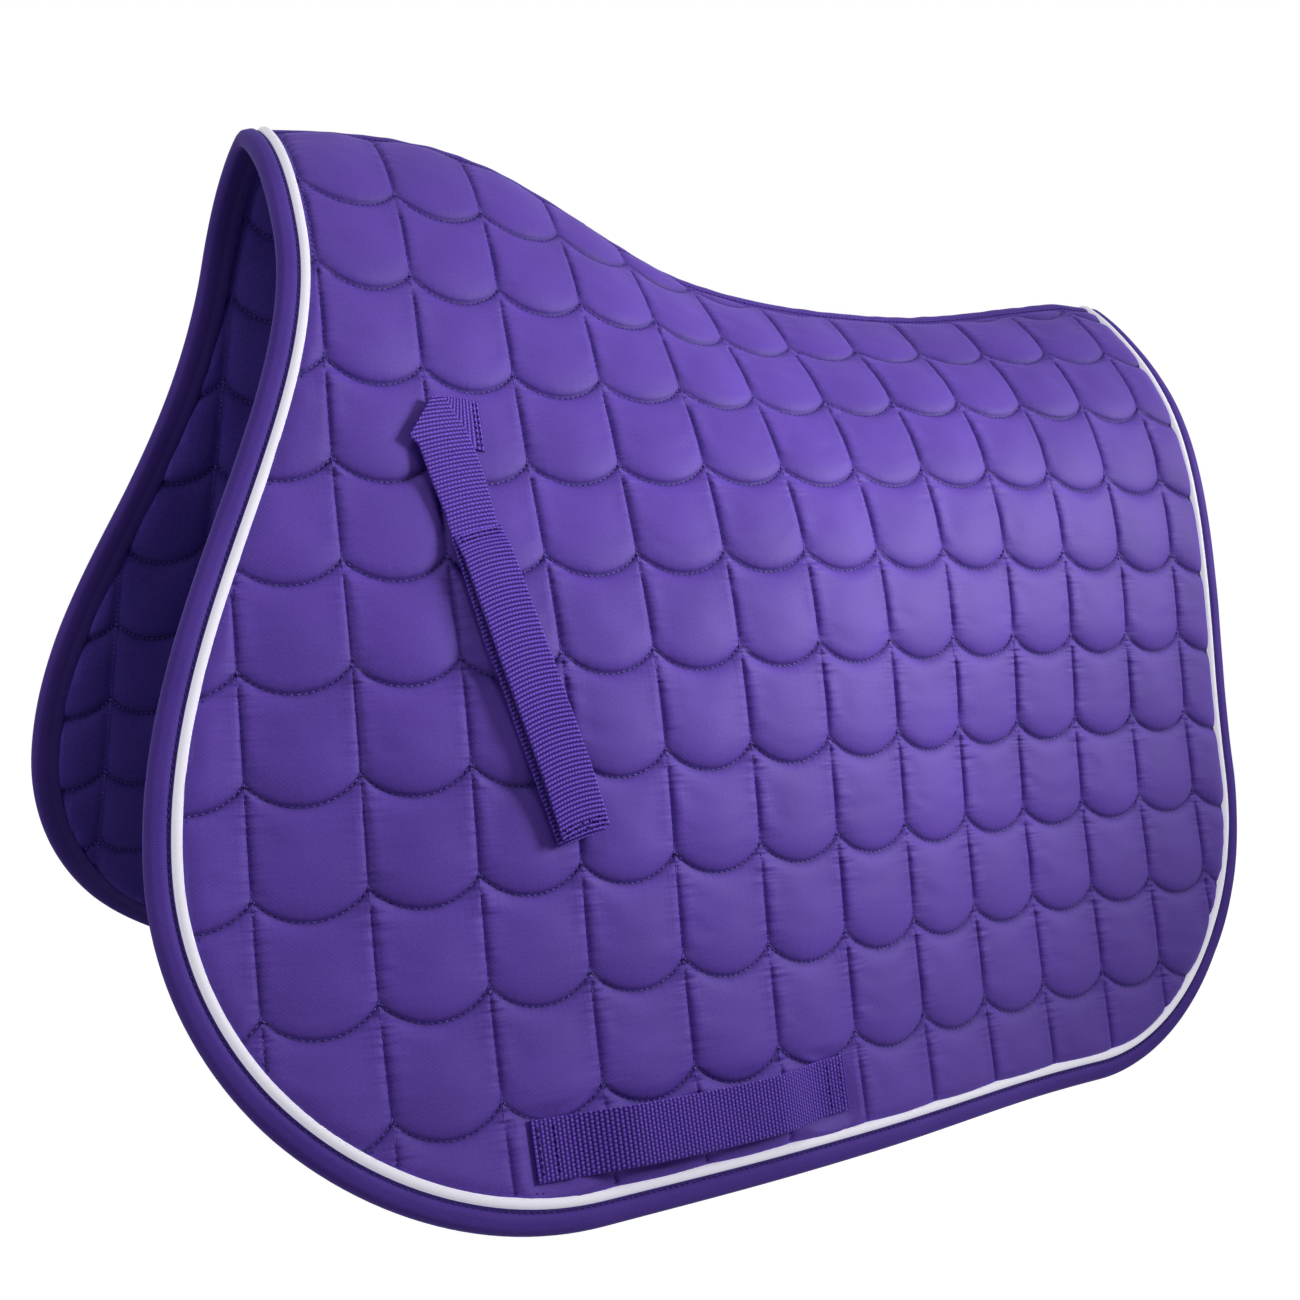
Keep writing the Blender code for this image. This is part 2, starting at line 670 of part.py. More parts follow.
looks = {
    "twill": material("purple_cotton_twill", TWILL, 0.75),
    "brushed": material("brushed_cotton_lining", BRUSHED, 0.95),
    "binding": material("purple_binding_tape", BINDING, 0.7),
    "white": material("white_piping", WHITE, 0.5),
    "fibre": material("polyester_wadding", FIBRE, 0.95),
    "webbing": material("purple_webbing", WEBBING, 0.6),
    "dark_webbing": material("dark_purple_webbing", DARK_WEBBING, 0.7),
}

cover_cloth = cut_cloth("cover", panel_outline(-PIPING_RADIUS - SEWING_GAP, SPINE_TAPE_WIDTH + SEWING_GAP))
inner_cloth = cut_cloth("inner", panel_outline(-PIPING_RADIUS - SEWING_GAP, 0.0))
batt_cloth = cut_cloth("batt", panel_outline(WADDING_TUCK, 0.0))

frame_origin = empty("pad_frame", (0, 0, 0))
lowest_seam = min(draped(x, spine_y(x), -COVER_BASE - LINING_THICKNESS).z for x in
                  [FRONT_EDGE_X + (REAR_EDGE_X - FRONT_EDGE_X) * i / 100 for i in range(101)])
fold_axis = empty("spine_fold_axis", (0, 0, lowest_seam + ORIGIN_SHIFT.z), frame_origin)

cloths = (cover_cloth, inner_cloth, batt_cloth)
build_flap("near", -1, cloths, looks, frame_origin)
build_flap("off", 1, cloths, looks, fold_axis)
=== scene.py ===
import math
import bpy
import bmesh
import numpy as np
from mathutils import Matrix, Vector, noise


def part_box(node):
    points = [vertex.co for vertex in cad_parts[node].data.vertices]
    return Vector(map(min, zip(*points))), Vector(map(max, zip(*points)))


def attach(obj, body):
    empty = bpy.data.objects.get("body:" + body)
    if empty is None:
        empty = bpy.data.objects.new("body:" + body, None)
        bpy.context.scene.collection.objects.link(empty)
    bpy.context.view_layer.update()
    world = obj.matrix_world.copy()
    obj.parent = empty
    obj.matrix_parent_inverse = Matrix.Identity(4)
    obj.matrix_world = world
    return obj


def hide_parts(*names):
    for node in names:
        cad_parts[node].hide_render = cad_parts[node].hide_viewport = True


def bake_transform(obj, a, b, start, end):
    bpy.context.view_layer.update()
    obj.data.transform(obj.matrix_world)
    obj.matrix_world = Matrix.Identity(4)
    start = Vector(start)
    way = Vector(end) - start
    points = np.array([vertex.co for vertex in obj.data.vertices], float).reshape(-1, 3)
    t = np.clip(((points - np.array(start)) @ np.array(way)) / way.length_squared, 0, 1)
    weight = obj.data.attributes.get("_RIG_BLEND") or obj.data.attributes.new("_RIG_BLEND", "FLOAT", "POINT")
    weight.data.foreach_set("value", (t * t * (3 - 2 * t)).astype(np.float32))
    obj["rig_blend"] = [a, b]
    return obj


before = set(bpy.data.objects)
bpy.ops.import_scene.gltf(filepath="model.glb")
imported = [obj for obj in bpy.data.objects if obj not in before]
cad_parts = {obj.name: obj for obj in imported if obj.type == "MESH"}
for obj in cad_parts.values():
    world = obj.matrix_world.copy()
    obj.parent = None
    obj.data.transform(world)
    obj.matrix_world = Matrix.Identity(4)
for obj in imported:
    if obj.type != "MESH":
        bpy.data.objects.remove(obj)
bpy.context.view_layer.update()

scene = bpy.context.scene
flaps = (("near", -1), ("off", 1))
print("frame loaded with", len(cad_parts), "nodes")


# camera at the photograph's viewing angle, a little rolled
cameraView = dict(
    place=(-0.4708, -0.8146, 0.3160), azimuth=29.491, elevation=-5.113,
    roll=2.429, lens=42.49, sensor=36.0,
)


def addCamera(view):
    a, e, roll = (math.radians(view[k]) for k in ("azimuth", "elevation", "roll"))
    ahead = Vector((math.sin(a) * math.cos(e), math.cos(a) * math.cos(e), math.sin(e)))
    right = ahead.cross(Vector((0, 0, 1))).normalized()
    up = right.cross(ahead)
    tiltedRight = right * math.cos(roll) + up * math.sin(roll)
    tiltedUp = up * math.cos(roll) - right * math.sin(roll)
    data = bpy.data.cameras.new("photo_camera")
    data.lens = view["lens"]
    data.sensor_width = view["sensor"]
    camera = bpy.data.objects.new("photo_camera", data)
    scene.collection.objects.link(camera)
    turn = Matrix((tiltedRight, tiltedUp, -ahead)).transposed()
    camera.matrix_world = Matrix.Translation(view["place"]) @ turn.to_4x4()
    scene.camera = camera


addCamera(cameraView)
print("camera set")


# materials

def linearColour(hexCode):
    parts = [int(hexCode[i:i + 2], 16) / 255 for i in (1, 3, 5)]
    return tuple(c / 12.92 if c <= 0.04045 else ((c + 0.055) / 1.055) ** 2.4 for c in parts) + (1.0,)


def addNode(tree, kind, links=None, **settings):
    node = tree.nodes.new("ShaderNode" + kind)
    for key, value in settings.items():
        setattr(node, key, value)
    for key, value in (links or {}).items():
        if isinstance(value, bpy.types.NodeSocket):
            tree.links.new(value, node.inputs[key])
        else:
            node.inputs[key].default_value = value
    return node


def newMaterial(name):
    material = bpy.data.materials.new(name)
    material.use_nodes = True
    material.node_tree.nodes.clear()
    return material, material.node_tree


# what every cloth look shares unless it says otherwise. Its pairs are threads (weft and warp spacing
# in metres), lint and blotch (size in metres, share), ramp (from, to) and bump (strength, metres)
# seamShade and seamColour, where a look has them, paint shade down in its sewn seams
clothLook = dict(turn=0, warpShare=0.5, ramp=(0.25, 0.75), specular=0.2, sheen=0.0, glow=0.0)


def wovenMaterial(**own):
    # the cloth's own flat map is in metres, so every spacing is a real thread spacing
    look = dict(clothLook, **own)
    material, tree = newMaterial(look["name"])
    flat = addNode(tree, "UVMap", uv_map="flat").outputs["UV"]
    turned = addNode(tree, "Mapping", {"Vector": flat, "Rotation": (0, 0, math.radians(look["turn"]))})
    waves = []
    for axis, spacing in zip("XY", look["threads"]):    # a Wave Texture repeats every pi/10 of its scale
        waves.append(addNode(tree, "TexWave", {
            "Vector": turned.outputs["Vector"], "Scale": math.pi / (10 * spacing), "Distortion": look["waver"],
            "Detail": 1.0, "Detail Scale": 2.0}, bands_direction=axis).outputs["Fac"])
    threads = addNode(tree, "Mix", {0: look["warpShare"], 2: waves[0], 3: waves[1]}).outputs[0]
    if "reliefShare" in look:               # raised yarns coloured lighter, gaps darker: painted highlight and shade
        raised = addNode(tree, "Attribute", attribute_name="relief").outputs["Fac"]
        threads = addNode(tree, "Mix", {0: look["reliefShare"], 2: threads, 3: raised}).outputs[0]
    layers = [threads]
    for (size, share), detail in ((look["lint"], 3.0), (look["blotch"], 2.0)):
        cloudy = addNode(tree, "TexNoise", {"Vector": flat, "Scale": 1 / size, "Detail": detail}).outputs["Fac"]
        layers.append(addNode(tree, "Mix", {0: share, 2: layers[-1], 3: cloudy}).outputs[0])
    ramp = addNode(tree, "ValToRGB", {"Fac": layers[2]})
    low, high = ramp.color_ramp.elements
    low.position, high.position = look["ramp"]
    low.color, high.color = linearColour(look["dark"]), linearColour(look["light"])
    colour = ramp.outputs["Color"]
    if "seamShade" in look:                 # painted shade: down in a sewn seam the cloth is coloured darker
        near = addNode(tree, "Attribute", attribute_name="seam").outputs["Fac"]
        amount = addNode(tree, "Math", {0: near, 1: look["seamShade"]}, operation="MULTIPLY").outputs[0]
        sunk = linearColour(look["seamColour"])
        colour = addNode(tree, "Mix", {0: amount, 6: colour, 7: sunk}, data_type="RGBA").outputs[2]
    puckered = {}
    if "pucker" in look:                    # short creases that the seams pull into the cloth, across each seam
        height, size = 0.0, look["pucker"][0]
        for attribute, stretch in (("pullAcross", (0.12, 1, 1)), ("pullDown", (1, 0.12, 1))):
            drawn = addNode(tree, "Mapping", {"Vector": flat, "Scale": stretch}).outputs["Vector"]
            crease = addNode(tree, "TexNoise", {"Vector": drawn, "Scale": 1 / size, "Detail": 1.0})
            pull = addNode(tree, "Attribute", attribute_name=attribute).outputs["Fac"]
            height = addNode(tree, "Math", {0: crease.outputs["Fac"], 1: pull, 2: height},
                             operation="MULTIPLY_ADD").outputs[0]
        puckered["Normal"] = addNode(tree, "Bump", {
            "Height": height, "Strength": 1.0, "Distance": look["pucker"][1]}).outputs["Normal"]
    strength, depth = look["bump"]
    relief = addNode(tree, "Bump", {"Height": layers[1], "Strength": strength, "Distance": depth, **puckered})
    # Emission Strength is the look's glow: a painted glow in the cloth's own light colour
    shader = addNode(tree, "BsdfPrincipled", {
        "Base Color": colour, "Roughness": look["roughness"], "Normal": relief.outputs["Normal"],
        "Specular IOR Level": look["specular"], "Sheen Weight": look["sheen"],
        "Sheen Roughness": 0.5, "Sheen Tint": linearColour(look["light"]),
        "Emission Color": linearColour(look["light"]), "Emission Strength": look["glow"]})
    addNode(tree, "OutputMaterial", {"Surface": shader.outputs["BSDF"]})
    return material


# cotton drill, piece-dyed: a matt cloth whose diagonal rib just shows (0.9 mm, drawn at 1.5 mm to show)
twill = wovenMaterial(
    name="piece_dyed_cotton_twill", turn=-45, threads=(0.0015, 0.0010), waver=1.6, warpShare=0.35,
    lint=(0.0014, 0.70), blotch=(0.060, 0.40), dark="#56389c", light="#6f4cc5", bump=(0.22, 0.00018),
    roughness=0.62, specular=0.34, sheen=0.03, pucker=(0.0036, 0.0060), seamShade=0.80, seamColour="#24155e")
# brushed cotton: raised on the face, so the weave is lost in a short soft nap
brushed = wovenMaterial(
    name="brushed_cotton_lining", threads=(0.0014, 0.0014), waver=3.0, lint=(0.0022, 0.75),
    blotch=(0.045, 0.4), dark="#4e38a4", light="#6c55c6", bump=(0.5, 0.0003), roughness=0.95,
    specular=0.15, sheen=0.25, seamShade=0.6, seamColour="#1a1046")
# woven cotton binding: plain weave, pressed smooth by the folder of the sewing machine
bindingCloth = wovenMaterial(
    name="woven_cotton_binding", threads=(0.0011, 0.0011), waver=1.0, lint=(0.0015, 0.5),
    blotch=(0.050, 0.45), dark="#4e3495", light="#684bb6", bump=(0.2, 0.00015), roughness=0.66,
    specular=0.15, sheen=0.02, seamShade=0.85, seamColour="#21144f")
# piping: a cotton cord in a bias-cut polyester cover, bleached white; it is given a painted glow,
# so that it stays white even in the shade
pipingCloth = wovenMaterial(
    name="bias_cut_white_piping", turn=45, threads=(0.0012, 0.0012), waver=0.6, lint=(0.0020, 0.4),
    blotch=(0.040, 0.4), dark="#cfced8", light="#e0dee8", ramp=(0.2, 0.7), bump=(0.12, 0.0001),
    roughness=0.60, glow=0.52)
# polyester webbing: filament yarn; the ribs are painted lighter and the gaps between them darker, as painted
# highlight and shade
webbing = wovenMaterial(
    name="ribbed_polyester_webbing", threads=(0.0014, 0.0021), waver=0.5, warpShare=0.3,
    reliefShare=0.80, lint=(0.0012, 0.12), blotch=(0.050, 0.08), dark="#1f0b66", light="#9268f4",
    ramp=(0.16, 0.72), bump=(0.35, 0.0002), roughness=0.5, specular=0.12, seamShade=0.7, seamColour="#21145a")
# spun polyester sewing thread, a little shiny: bright where it lies on the quilting seams
threadLook = dict(
    name="spun_polyester_quilting_thread", turn=30, threads=(0.0008, 0.0008), waver=0.5,
    warpShare=0.2, lint=(0.0020, 0.4), blotch=(0.030, 0.3), dark="#4d37a4", light="#7c62d0",
    ramp=(0.3, 0.7), bump=(0.3, 0.0001), roughness=0.5, specular=0.25)
thread = wovenMaterial(**threadLook)
# the same thread coloured darker, as painted shade: sunk into tape and webbing, it only shows as a dark row
paintedThreadShade = dict(name="spun_polyester_seam_thread", dark="#2f1f72", light="#46338f")
edgeThread = wovenMaterial(**dict(threadLook, **paintedThreadShade))
# nylon touch-and-close tape: a matt nap of loops on one half, short stiff hooks on the other
loopPile = wovenMaterial(
    name="nylon_loop_pile", turn=20, threads=(0.0013, 0.0017), waver=9.0, lint=(0.0011, 0.6),
    blotch=(0.02, 0.2), dark="#2c1f63", light="#57429f", ramp=(0.3, 0.8), bump=(0.9, 0.0006),
    roughness=0.9, specular=0.1, sheen=0.15)
hookTape = wovenMaterial(
    name="nylon_hook_tape", threads=(0.0016, 0.0020), waver=0.3, lint=(0.0010, 0.2),
    blotch=(0.02, 0.2), dark="#251a55", light="#503c97", ramp=(0.4, 0.8), bump=(0.9, 0.0007), roughness=0.6)
print("materials made")


# the cutting pattern and how the flaps hang, in metres: x runs to the tail from the first
# quilting seam, depth runs down from the first row, lift is measured from the pad's middle
pattern = dict(
    frontEdgeX=0.045, lobeStart=0.085, lobeReach=0.075, lobeDepth=0.385,
    frontCornerLength=0.172, rearCornerLength=0.140, rearCornerHeight=0.160,
    rearEdgeX=0.628, hemDepth=0.548, bindingWidth=0.0132, pathStep=0.005,
)
drape = dict(
    sectionX=(0.0, 0.15, 0.30, 0.45, 0.60),
    slopeAt=(0.0, 0.075, 0.15, 0.25, 0.375, 0.55),
    slopes=((13, 47, 77, 71, 72, 57), (32, 58, 64, 62, 75, 66), (37, 43, 53, 72, 77, 68),
            (32, 39, 62, 80, 76, 72), (32, 46, 68, 79, 75, 80)),
    spineDepth=(-0.010, -0.005, 0.040, 0.0525, 0.040),
    mitre=0.030, step=0.004, reach=0.68, tableStart=-0.060, tableEnd=0.664,
    tableStep=0.002, ridgeRound=0.007, hemLift=-0.0000553,
)


def smoothStep(t):
    t = np.clip(t, 0.0, 1.0)
    return t * t * (3 - 2 * t)


def curveThrough(stations, values, t):
    stations, values = np.asarray(stations, float), np.asarray(values, float)
    t = np.clip(t, stations[0], stations[-1])
    i = np.clip(np.searchsorted(stations, t) - 1, 0, len(stations) - 2)
    slopes = np.gradient(values, stations)
    span = stations[i + 1] - stations[i]
    a = (t - stations[i]) / span
    start = (2 * a**3 - 3 * a**2 + 1) * values[i] + (a**3 - 2 * a**2 + a) * span * slopes[i]
    end = (3 * a**2 - 2 * a**3) * values[i + 1] + (a**3 - a**2) * span * slopes[i + 1]
    return start + end


def spineAt(x):
    return curveThrough(drape["sectionX"], drape["spineDepth"], x)


def buildSections():
    # how far out, how high and how steep the flap is, for each x and each distance below the spine
    xs = np.arange(drape["tableStart"], drape["tableEnd"], drape["tableStep"])
    distances = np.arange(0.0, drape["reach"], drape["step"])
    slopes = np.stack([curveThrough(drape["sectionX"], column, xs) for column in zip(*drape["slopes"])], 1)
    steep = np.radians([curveThrough(drape["slopeAt"], row, distances) for row in slopes])
    middle = (steep[:, 1:] + steep[:, :-1]) / 2
    out, down = (np.pad(np.cumsum(part, axis=1), ((0, 0), (1, 0))) * drape["step"]
                 for part in (np.cos(middle), np.sin(middle)))
    rim = pattern["hemDepth"] + pattern["bindingWidth"] - spineAt(xs)
    hem = np.array([np.interp(r, distances, d) for r, d in zip(rim, down)])
    return out, hem[:, None] - down, steep


outTable, heightTable, steepTable = buildSections()
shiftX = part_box("near_edge_binding")[0].x - (
    pattern["frontEdgeX"] - pattern["lobeReach"] - pattern["bindingWidth"])


def between(table, u, v, ease=None):
    # the table's value between four of its entries
    i, j = u.astype(int), v.astype(int)
    a, b = (ease(t) if ease else t for t in (u - i, v - j))
    low = table[i, j] * (1 - b) + table[i, j + 1] * b
    high = table[i + 1, j] * (1 - b) + table[i + 1, j + 1] * b
    return low * (1 - a) + high * a


def readTable(table, x, s):
    u = np.clip((x - drape["tableStart"]) / drape["tableStep"], 0, table.shape[0] - 1.001)
    return between(table, u, np.clip(s / drape["step"], 0, table.shape[1] - 1.001))


def draped(x, depth, lift):
    s = np.maximum(depth - spineAt(x), 0.0)
    slope = readTable(steepTable, x, s)
    tilt = slope * smoothStep(s / drape["mitre"])
    over = np.maximum(drape["ridgeRound"] - s, 0.0) ** 2 / (2 * drape["ridgeRound"])
    y = -readTable(outTable, x, s) - lift * np.sin(tilt)
    z = readTable(heightTable, x, s) - over * np.sin(slope) + lift * np.cos(tilt)
    return np.stack([x + shiftX, y, np.maximum(z + drape["hemLift"], 0.0)], axis=1)


def pipingPath():
    # where the piping lies on one flat flap: down the front, round the hem and up the tail edge
    edgeX, reach, lobeStart, lobeDepth, hemDepth, rearX, step = (pattern[k] for k in (
        "frontEdgeX", "lobeReach", "lobeStart", "lobeDepth", "hemDepth", "rearEdgeX", "pathStep"))
    top, rearTop = spineAt(edgeX), spineAt(rearX)
    depths = np.linspace(top, lobeDepth, round((lobeDepth - top) / step))[:-1]
    turn = np.clip((depths - lobeStart) / (lobeDepth - lobeStart), 0, 1)
    front = np.c_[edgeX - reach * (1 - np.cos(math.pi * turn)) / 2, depths]
    a = np.linspace(0, math.pi / 2, 48)
    frontCorner = np.c_[edgeX - reach + pattern["frontCornerLength"] * (1 - np.cos(a)),
                        lobeDepth + (hemDepth - lobeDepth) * np.sin(a)]
    hemStart, hemEnd = frontCorner[-1, 0], rearX - pattern["rearCornerLength"]
    xs = np.linspace(hemStart, hemEnd, round((hemEnd - hemStart) / step))[1:-1]
    hem = np.c_[xs, np.full(len(xs), hemDepth)]
    cornerTop = hemDepth - pattern["rearCornerHeight"]
    rearCorner = np.c_[hemEnd + pattern["rearCornerLength"] * np.sin(a),
                       cornerTop + pattern["rearCornerHeight"] * np.cos(a)]
    depths = np.linspace(cornerTop, rearTop, round((cornerTop - rearTop) / step))[1:]
    rear = np.c_[np.full(len(depths), rearX), depths]
    path = np.concatenate([front, frontCorner, hem, rearCorner, rear])
    along = np.gradient(path, axis=0)
    normals = np.c_[-along[:, 1], along[:, 0]]
    normals /= np.linalg.norm(normals, axis=1)[:, None]
    normals[0], normals[-1] = (-1, 0), (1, 0)
    return path, normals


rimPath, rimNormals = pipingPath()


def rimGap(x, depth, batch=4000):
    # distance inside the piping line, with the nearest place on it and the way out there
    points = np.c_[x, depth]
    start, edge = rimPath[:-1], np.diff(rimPath, axis=0)
    gap, foot, away = np.empty(len(x)), np.empty((len(x), 2)), np.empty((len(x), 2))
    for first in range(0, len(points), batch):
        part = slice(first, first + batch)
        block = points[part]
        t = np.clip(((block[:, None] - start) * edge).sum(2) / (edge**2).sum(1), 0, 1)
        places = start + t[..., None] * edge
        far = np.linalg.norm(block[:, None] - places, axis=2)
        k = far.argmin(1)
        rows = np.arange(len(block))
        n = rimNormals[k] * (1 - t[rows, k, None]) + rimNormals[k + 1] * t[rows, k, None]
        side = -np.sign(((block - places[rows, k]) * n).sum(1))
        gap[part], foot[part], away[part] = far[rows, k] * side, places[rows, k], n
    return gap, foot, away


def runningLength(points):
    return np.concatenate([[0], np.cumsum(np.linalg.norm(np.diff(points, axis=0), axis=1))])


def meshCoords(bm):
    return np.array([v.co for v in bm.verts])


def setCoords(bm, places):
    for vert, place in zip(bm.verts, places):
        vert.co = place


def flatGrid(columns, rows):
    # a plain sheet, with the column and the row of each of its points
    bm = bmesh.new()
    bmesh.ops.create_grid(bm, x_segments=columns, y_segments=rows, size=0.5)
    unit = meshCoords(bm) + 0.5
    return bm, np.round(unit[:, 0] * columns).astype(int), np.round(unit[:, 1] * rows).astype(int)


def writeFlatMap(bm, flat=None):
    # keeps the flat place of every point as the cloth's map, before it is draped
    layer = bm.loops.layers.uv.get("flat") or bm.loops.layers.uv.new("flat")
    places = meshCoords(bm)[:, :2] if flat is None else flat
    bm.verts.index_update()
    for face in bm.faces:
        for loop in face.loops:
            loop[layer].uv = places[loop.vert.index]


def writeMarks(bm, **marks):
    # numbers kept at every point, for the materials to read
    for name, values in marks.items():
        layer = bm.verts.layers.float.new(name)
        for vert, value in zip(bm.verts, values):
            vert[layer] = value


def newObject(name, mesh, materials):
    obj = bpy.data.objects.new(name, mesh)
    scene.collection.objects.link(obj)
    mesh.materials.clear()
    for material in materials:
        mesh.materials.append(material)
    mesh.shade_smooth()
    return obj


def pieceFrom(name, bm, *materials):
    mesh = bpy.data.meshes.new(name)
    bm.to_mesh(mesh)
    bm.free()
    return newObject(name, mesh, materials)


def layOnFlap(name, bm, side, *materials):
    # drapes flat work over one flap and makes it a piece
    flat = meshCoords(bm)
    places = draped(flat[:, 0], -flat[:, 1], flat[:, 2])
    places[:, 1] *= -side
    setCoords(bm, places)
    if side > 0:
        bmesh.ops.reverse_faces(bm, faces=bm.faces)
    return pieceFrom(name, bm, *materials)


def bakedMesh(obj):
    # the object's mesh with its modifiers in it; the object itself goes
    bpy.context.view_layer.update()
    mesh = bpy.data.meshes.new_from_object(obj.evaluated_get(bpy.context.evaluated_depsgraph_get()))
    bpy.data.objects.remove(obj)
    return mesh


def walledMesh(sheet, thickness):
    # the wall goes inwards from the sheet's face
    wall = sheet.modifiers.new("wall", "SOLIDIFY")
    wall.thickness, wall.offset = thickness, -1.0
    return bakedMesh(sheet)


def acrossSpine(obj):
    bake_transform(obj, "near_half", "off_half", start=(0, -0.06, 0.44), end=(0, 0.06, 0.44))


def overBoth(piece, node):
    # one piece for the two halves of a tape or cord that runs unbroken over the spine
    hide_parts("near_" + node, "off_" + node)
    acrossSpine(piece)


def waver(a, b, seed):
    return np.array([noise.noise(Vector((p, q, seed))) for p, q in zip(a, b)])


# quilting: straight columns and scalloped rows, 50 mm apart
quilt = dict(
    pitch=0.050, sag=0.0125, columns=(-1, 13), rows=(-1, 12), firstRow=1,
    segments=(16, 32), crowding=(0.80, 0.42), stitchLevel=0.0031, crown=0.0058,
    irregular=0.08, columnRise=0.0017, rowRise=0.0052, rollLength=0.0200, dome=0.42,
    rimTuck=0.0010, rimRise=0.0085, tapeHalfWidth=0.0110, seamPucker=0.00125,
    puckerSpacing=0.0052, puckerReach=0.0036, clothThickness=0.0010, topLimit=0.0092,
    # seamWidth and the column seams' share on the next line size the painted shade down in the seams
    seamWidth=0.0011, seamGap=0.0015, cuspReach=0.016, rowPucker=0.35, topFullness=0.80,
    leanSpread=0.06, dents=((0.09, 0.019, 0), (0.05, 0.008, 4)), columnSeamShade=0.04,
    cuspPull=0.65, cuspWidth=0.014, rowPull=0.08,
)
liningQuilt = dict(
    quilt, segments=(10, 12), crowding=(0.5, 0.4), crown=0.0038, irregular=0.12, seamPucker=0.0005,
    columnRise=0.0040, rowRise=0.0060, topLimit=0.0070, seamWidth=0.0020,
)


def arcSag(x):
    # the scallops are arcs of a circle that hang 12.5 mm between two columns
    pitch, sag = quilt["pitch"], quilt["sag"]
    radius = (pitch**2 / 4 + sag**2) / (2 * sag)
    offset = ((x / pitch) % 1 - 0.5) * pitch
    return np.sqrt(radius**2 - offset**2) - (radius - sag)


def quiltSheet(q, spineMargin):
    counts = [(q[k][1] - q[k][0]) * n for k, n in zip(("columns", "rows"), q["segments"])]
    bm, i, j = flatGrid(*counts)
    j = counts[1] - j
    crowded = [k / n - c * np.sin(2 * math.pi * k / n) / (2 * math.pi)      # finer towards the seams
               for k, n, c in zip((i, j), q["segments"], q["crowding"])]
    x = (q["columns"][0] + crowded[0]) * q["pitch"]
    depth = (q["rows"][0] + crowded[1]) * q["pitch"] + arcSag(x)
    onSeam = (i % q["segments"][0] == 0) | ((j % q["segments"][1] == 0) & (crowded[1] > -q["rows"][0]))
    gap, foot, away = rimGap(x, depth)
    outRim = gap <= q["rimTuck"]
    inside = ~outRim & (depth - spineAt(x) - spineMargin > 0)
    foot -= away * q["rimTuck"]
    x, depth = np.where(outRim, foot.T, (x, depth))
    depth = np.maximum(depth, spineAt(x) + spineMargin)
    setCoords(bm, np.c_[x, -depth, np.zeros(len(x))])
    writeMarks(bm, pin=(onSeam | ~inside).astype(float))
    bm.verts.index_update()
    outside = [f for f in bm.faces if not any(inside[v.index] for v in f.verts)]
    bmesh.ops.delete(bm, geom=outside, context="FACES")
    bmesh.ops.remove_doubles(bm, verts=[v for v in bm.verts if v.is_boundary], dist=0.00005)
    bmesh.ops.dissolve_degenerate(bm, edges=bm.edges, dist=0.00002)
    return bm


rng = np.random.default_rng(7)
cellSwell = rng.uniform(-1, 1, (24, 24))
cellLean = rng.uniform(-1, 1, (24, 24))


def quiltLift(x, depth, q, seed):
    # each cell is a pillow: steep beside the column seams, rolled over above its scallop
    u, v = x / q["pitch"], (depth - arcSag(x)) / q["pitch"]
    v = np.maximum(v, q["firstRow"] - 0.98)             # above the first row the cloth is one tall cell
    column, row = np.floor(u).astype(int) % 24, np.floor(v).astype(int) % 24
    fu, fv = u % 1, v % 1
    s = depth - spineAt(x)
    toColumn = np.minimum(fu, 1 - fu) * q["pitch"]
    fromTop = np.where(v < q["firstRow"], s, fv * q["pitch"])
    toBottom = (1 - fv) * q["pitch"]
    toRow = np.minimum(fromTop, toBottom)
    dome = 1 - (2 * fu - 1) ** 2
    across = (1 - q["dome"]) * (1 - np.exp(-toColumn / q["columnRise"])) + q["dome"] * dome
    roll = np.clip(1 - toBottom / q["rollLength"], 0, 1)
    lean = q["topFullness"] + (1 - q["topFullness"]) * smoothStep(fv / 0.6)
    lean += q["leanSpread"] * cellLean[column, row] * (fv - 0.5)
    down = (1 - np.exp(-fromTop / q["rowRise"])) * np.sqrt(1 - roll**2) * lean
    puff = q["crown"] * (1 + q["irregular"] * cellSwell[row, column]) * across * down
    puff *= 1 + sum(amount * waver(x / spacing, depth / spacing, seed + shift)
                    for amount, spacing, shift in q["dents"])
    alongColumn = waver(depth / q["puckerSpacing"], np.round(u) * 7.3, seed)    # other creases at each seam
    alongRow = waver(x / q["puckerSpacing"], np.round(v) * 5.1, seed + 9)
    fade = [np.exp(-t / q["puckerReach"]) * smoothStep(t / q["seamGap"]) for t in (toColumn, toRow)]
    behind = np.where(fu < 0.5, 1.5, 0.7) * (0.5 + 1.3 * np.exp(-(fv * q["pitch"] / q["cuspReach"]) ** 2))
    puff += q["seamPucker"] * (behind * alongColumn * fade[0] + q["rowPucker"] * alongRow * fade[1])
    gap = rimGap(x, depth)[0]
    edge, tape = (1 - (1 - np.clip(t / q["rimRise"], 0, 1)) ** 3 for t in (gap, s - q["tapeHalfWidth"]))
    return np.maximum(puff, 0.0) * edge * tape, toColumn, toRow


# what lies on the quilting and presses it down
strap = dict(
    x=0.1052, depth=0.2000, lean=13.0, width=0.025, legLength=0.194,
    coverStart=0.042, coverLength=0.150, tapeMargin=0.012, bow=0.0028,
    underLift=0.0097, webThickness=0.0012, tapeLift=0.0115, hookLift=0.0128,
    coverLift=0.0141, ribPitch=0.0021, ribHeight=0.00042, sewnX=0.1262,
    tip=(0.0855, 0.1920), creaseTop=(0.1005, 0.1690),
)
girthLoop = dict(
    startX=0.111, length=0.177, depth=0.525, width=0.027, thickness=0.0015,
    tab=0.014, bow=0.0115, ribPitch=0.0021, crossPitch=0.0020, relief=0.00060,
    sag=0.0020,
)


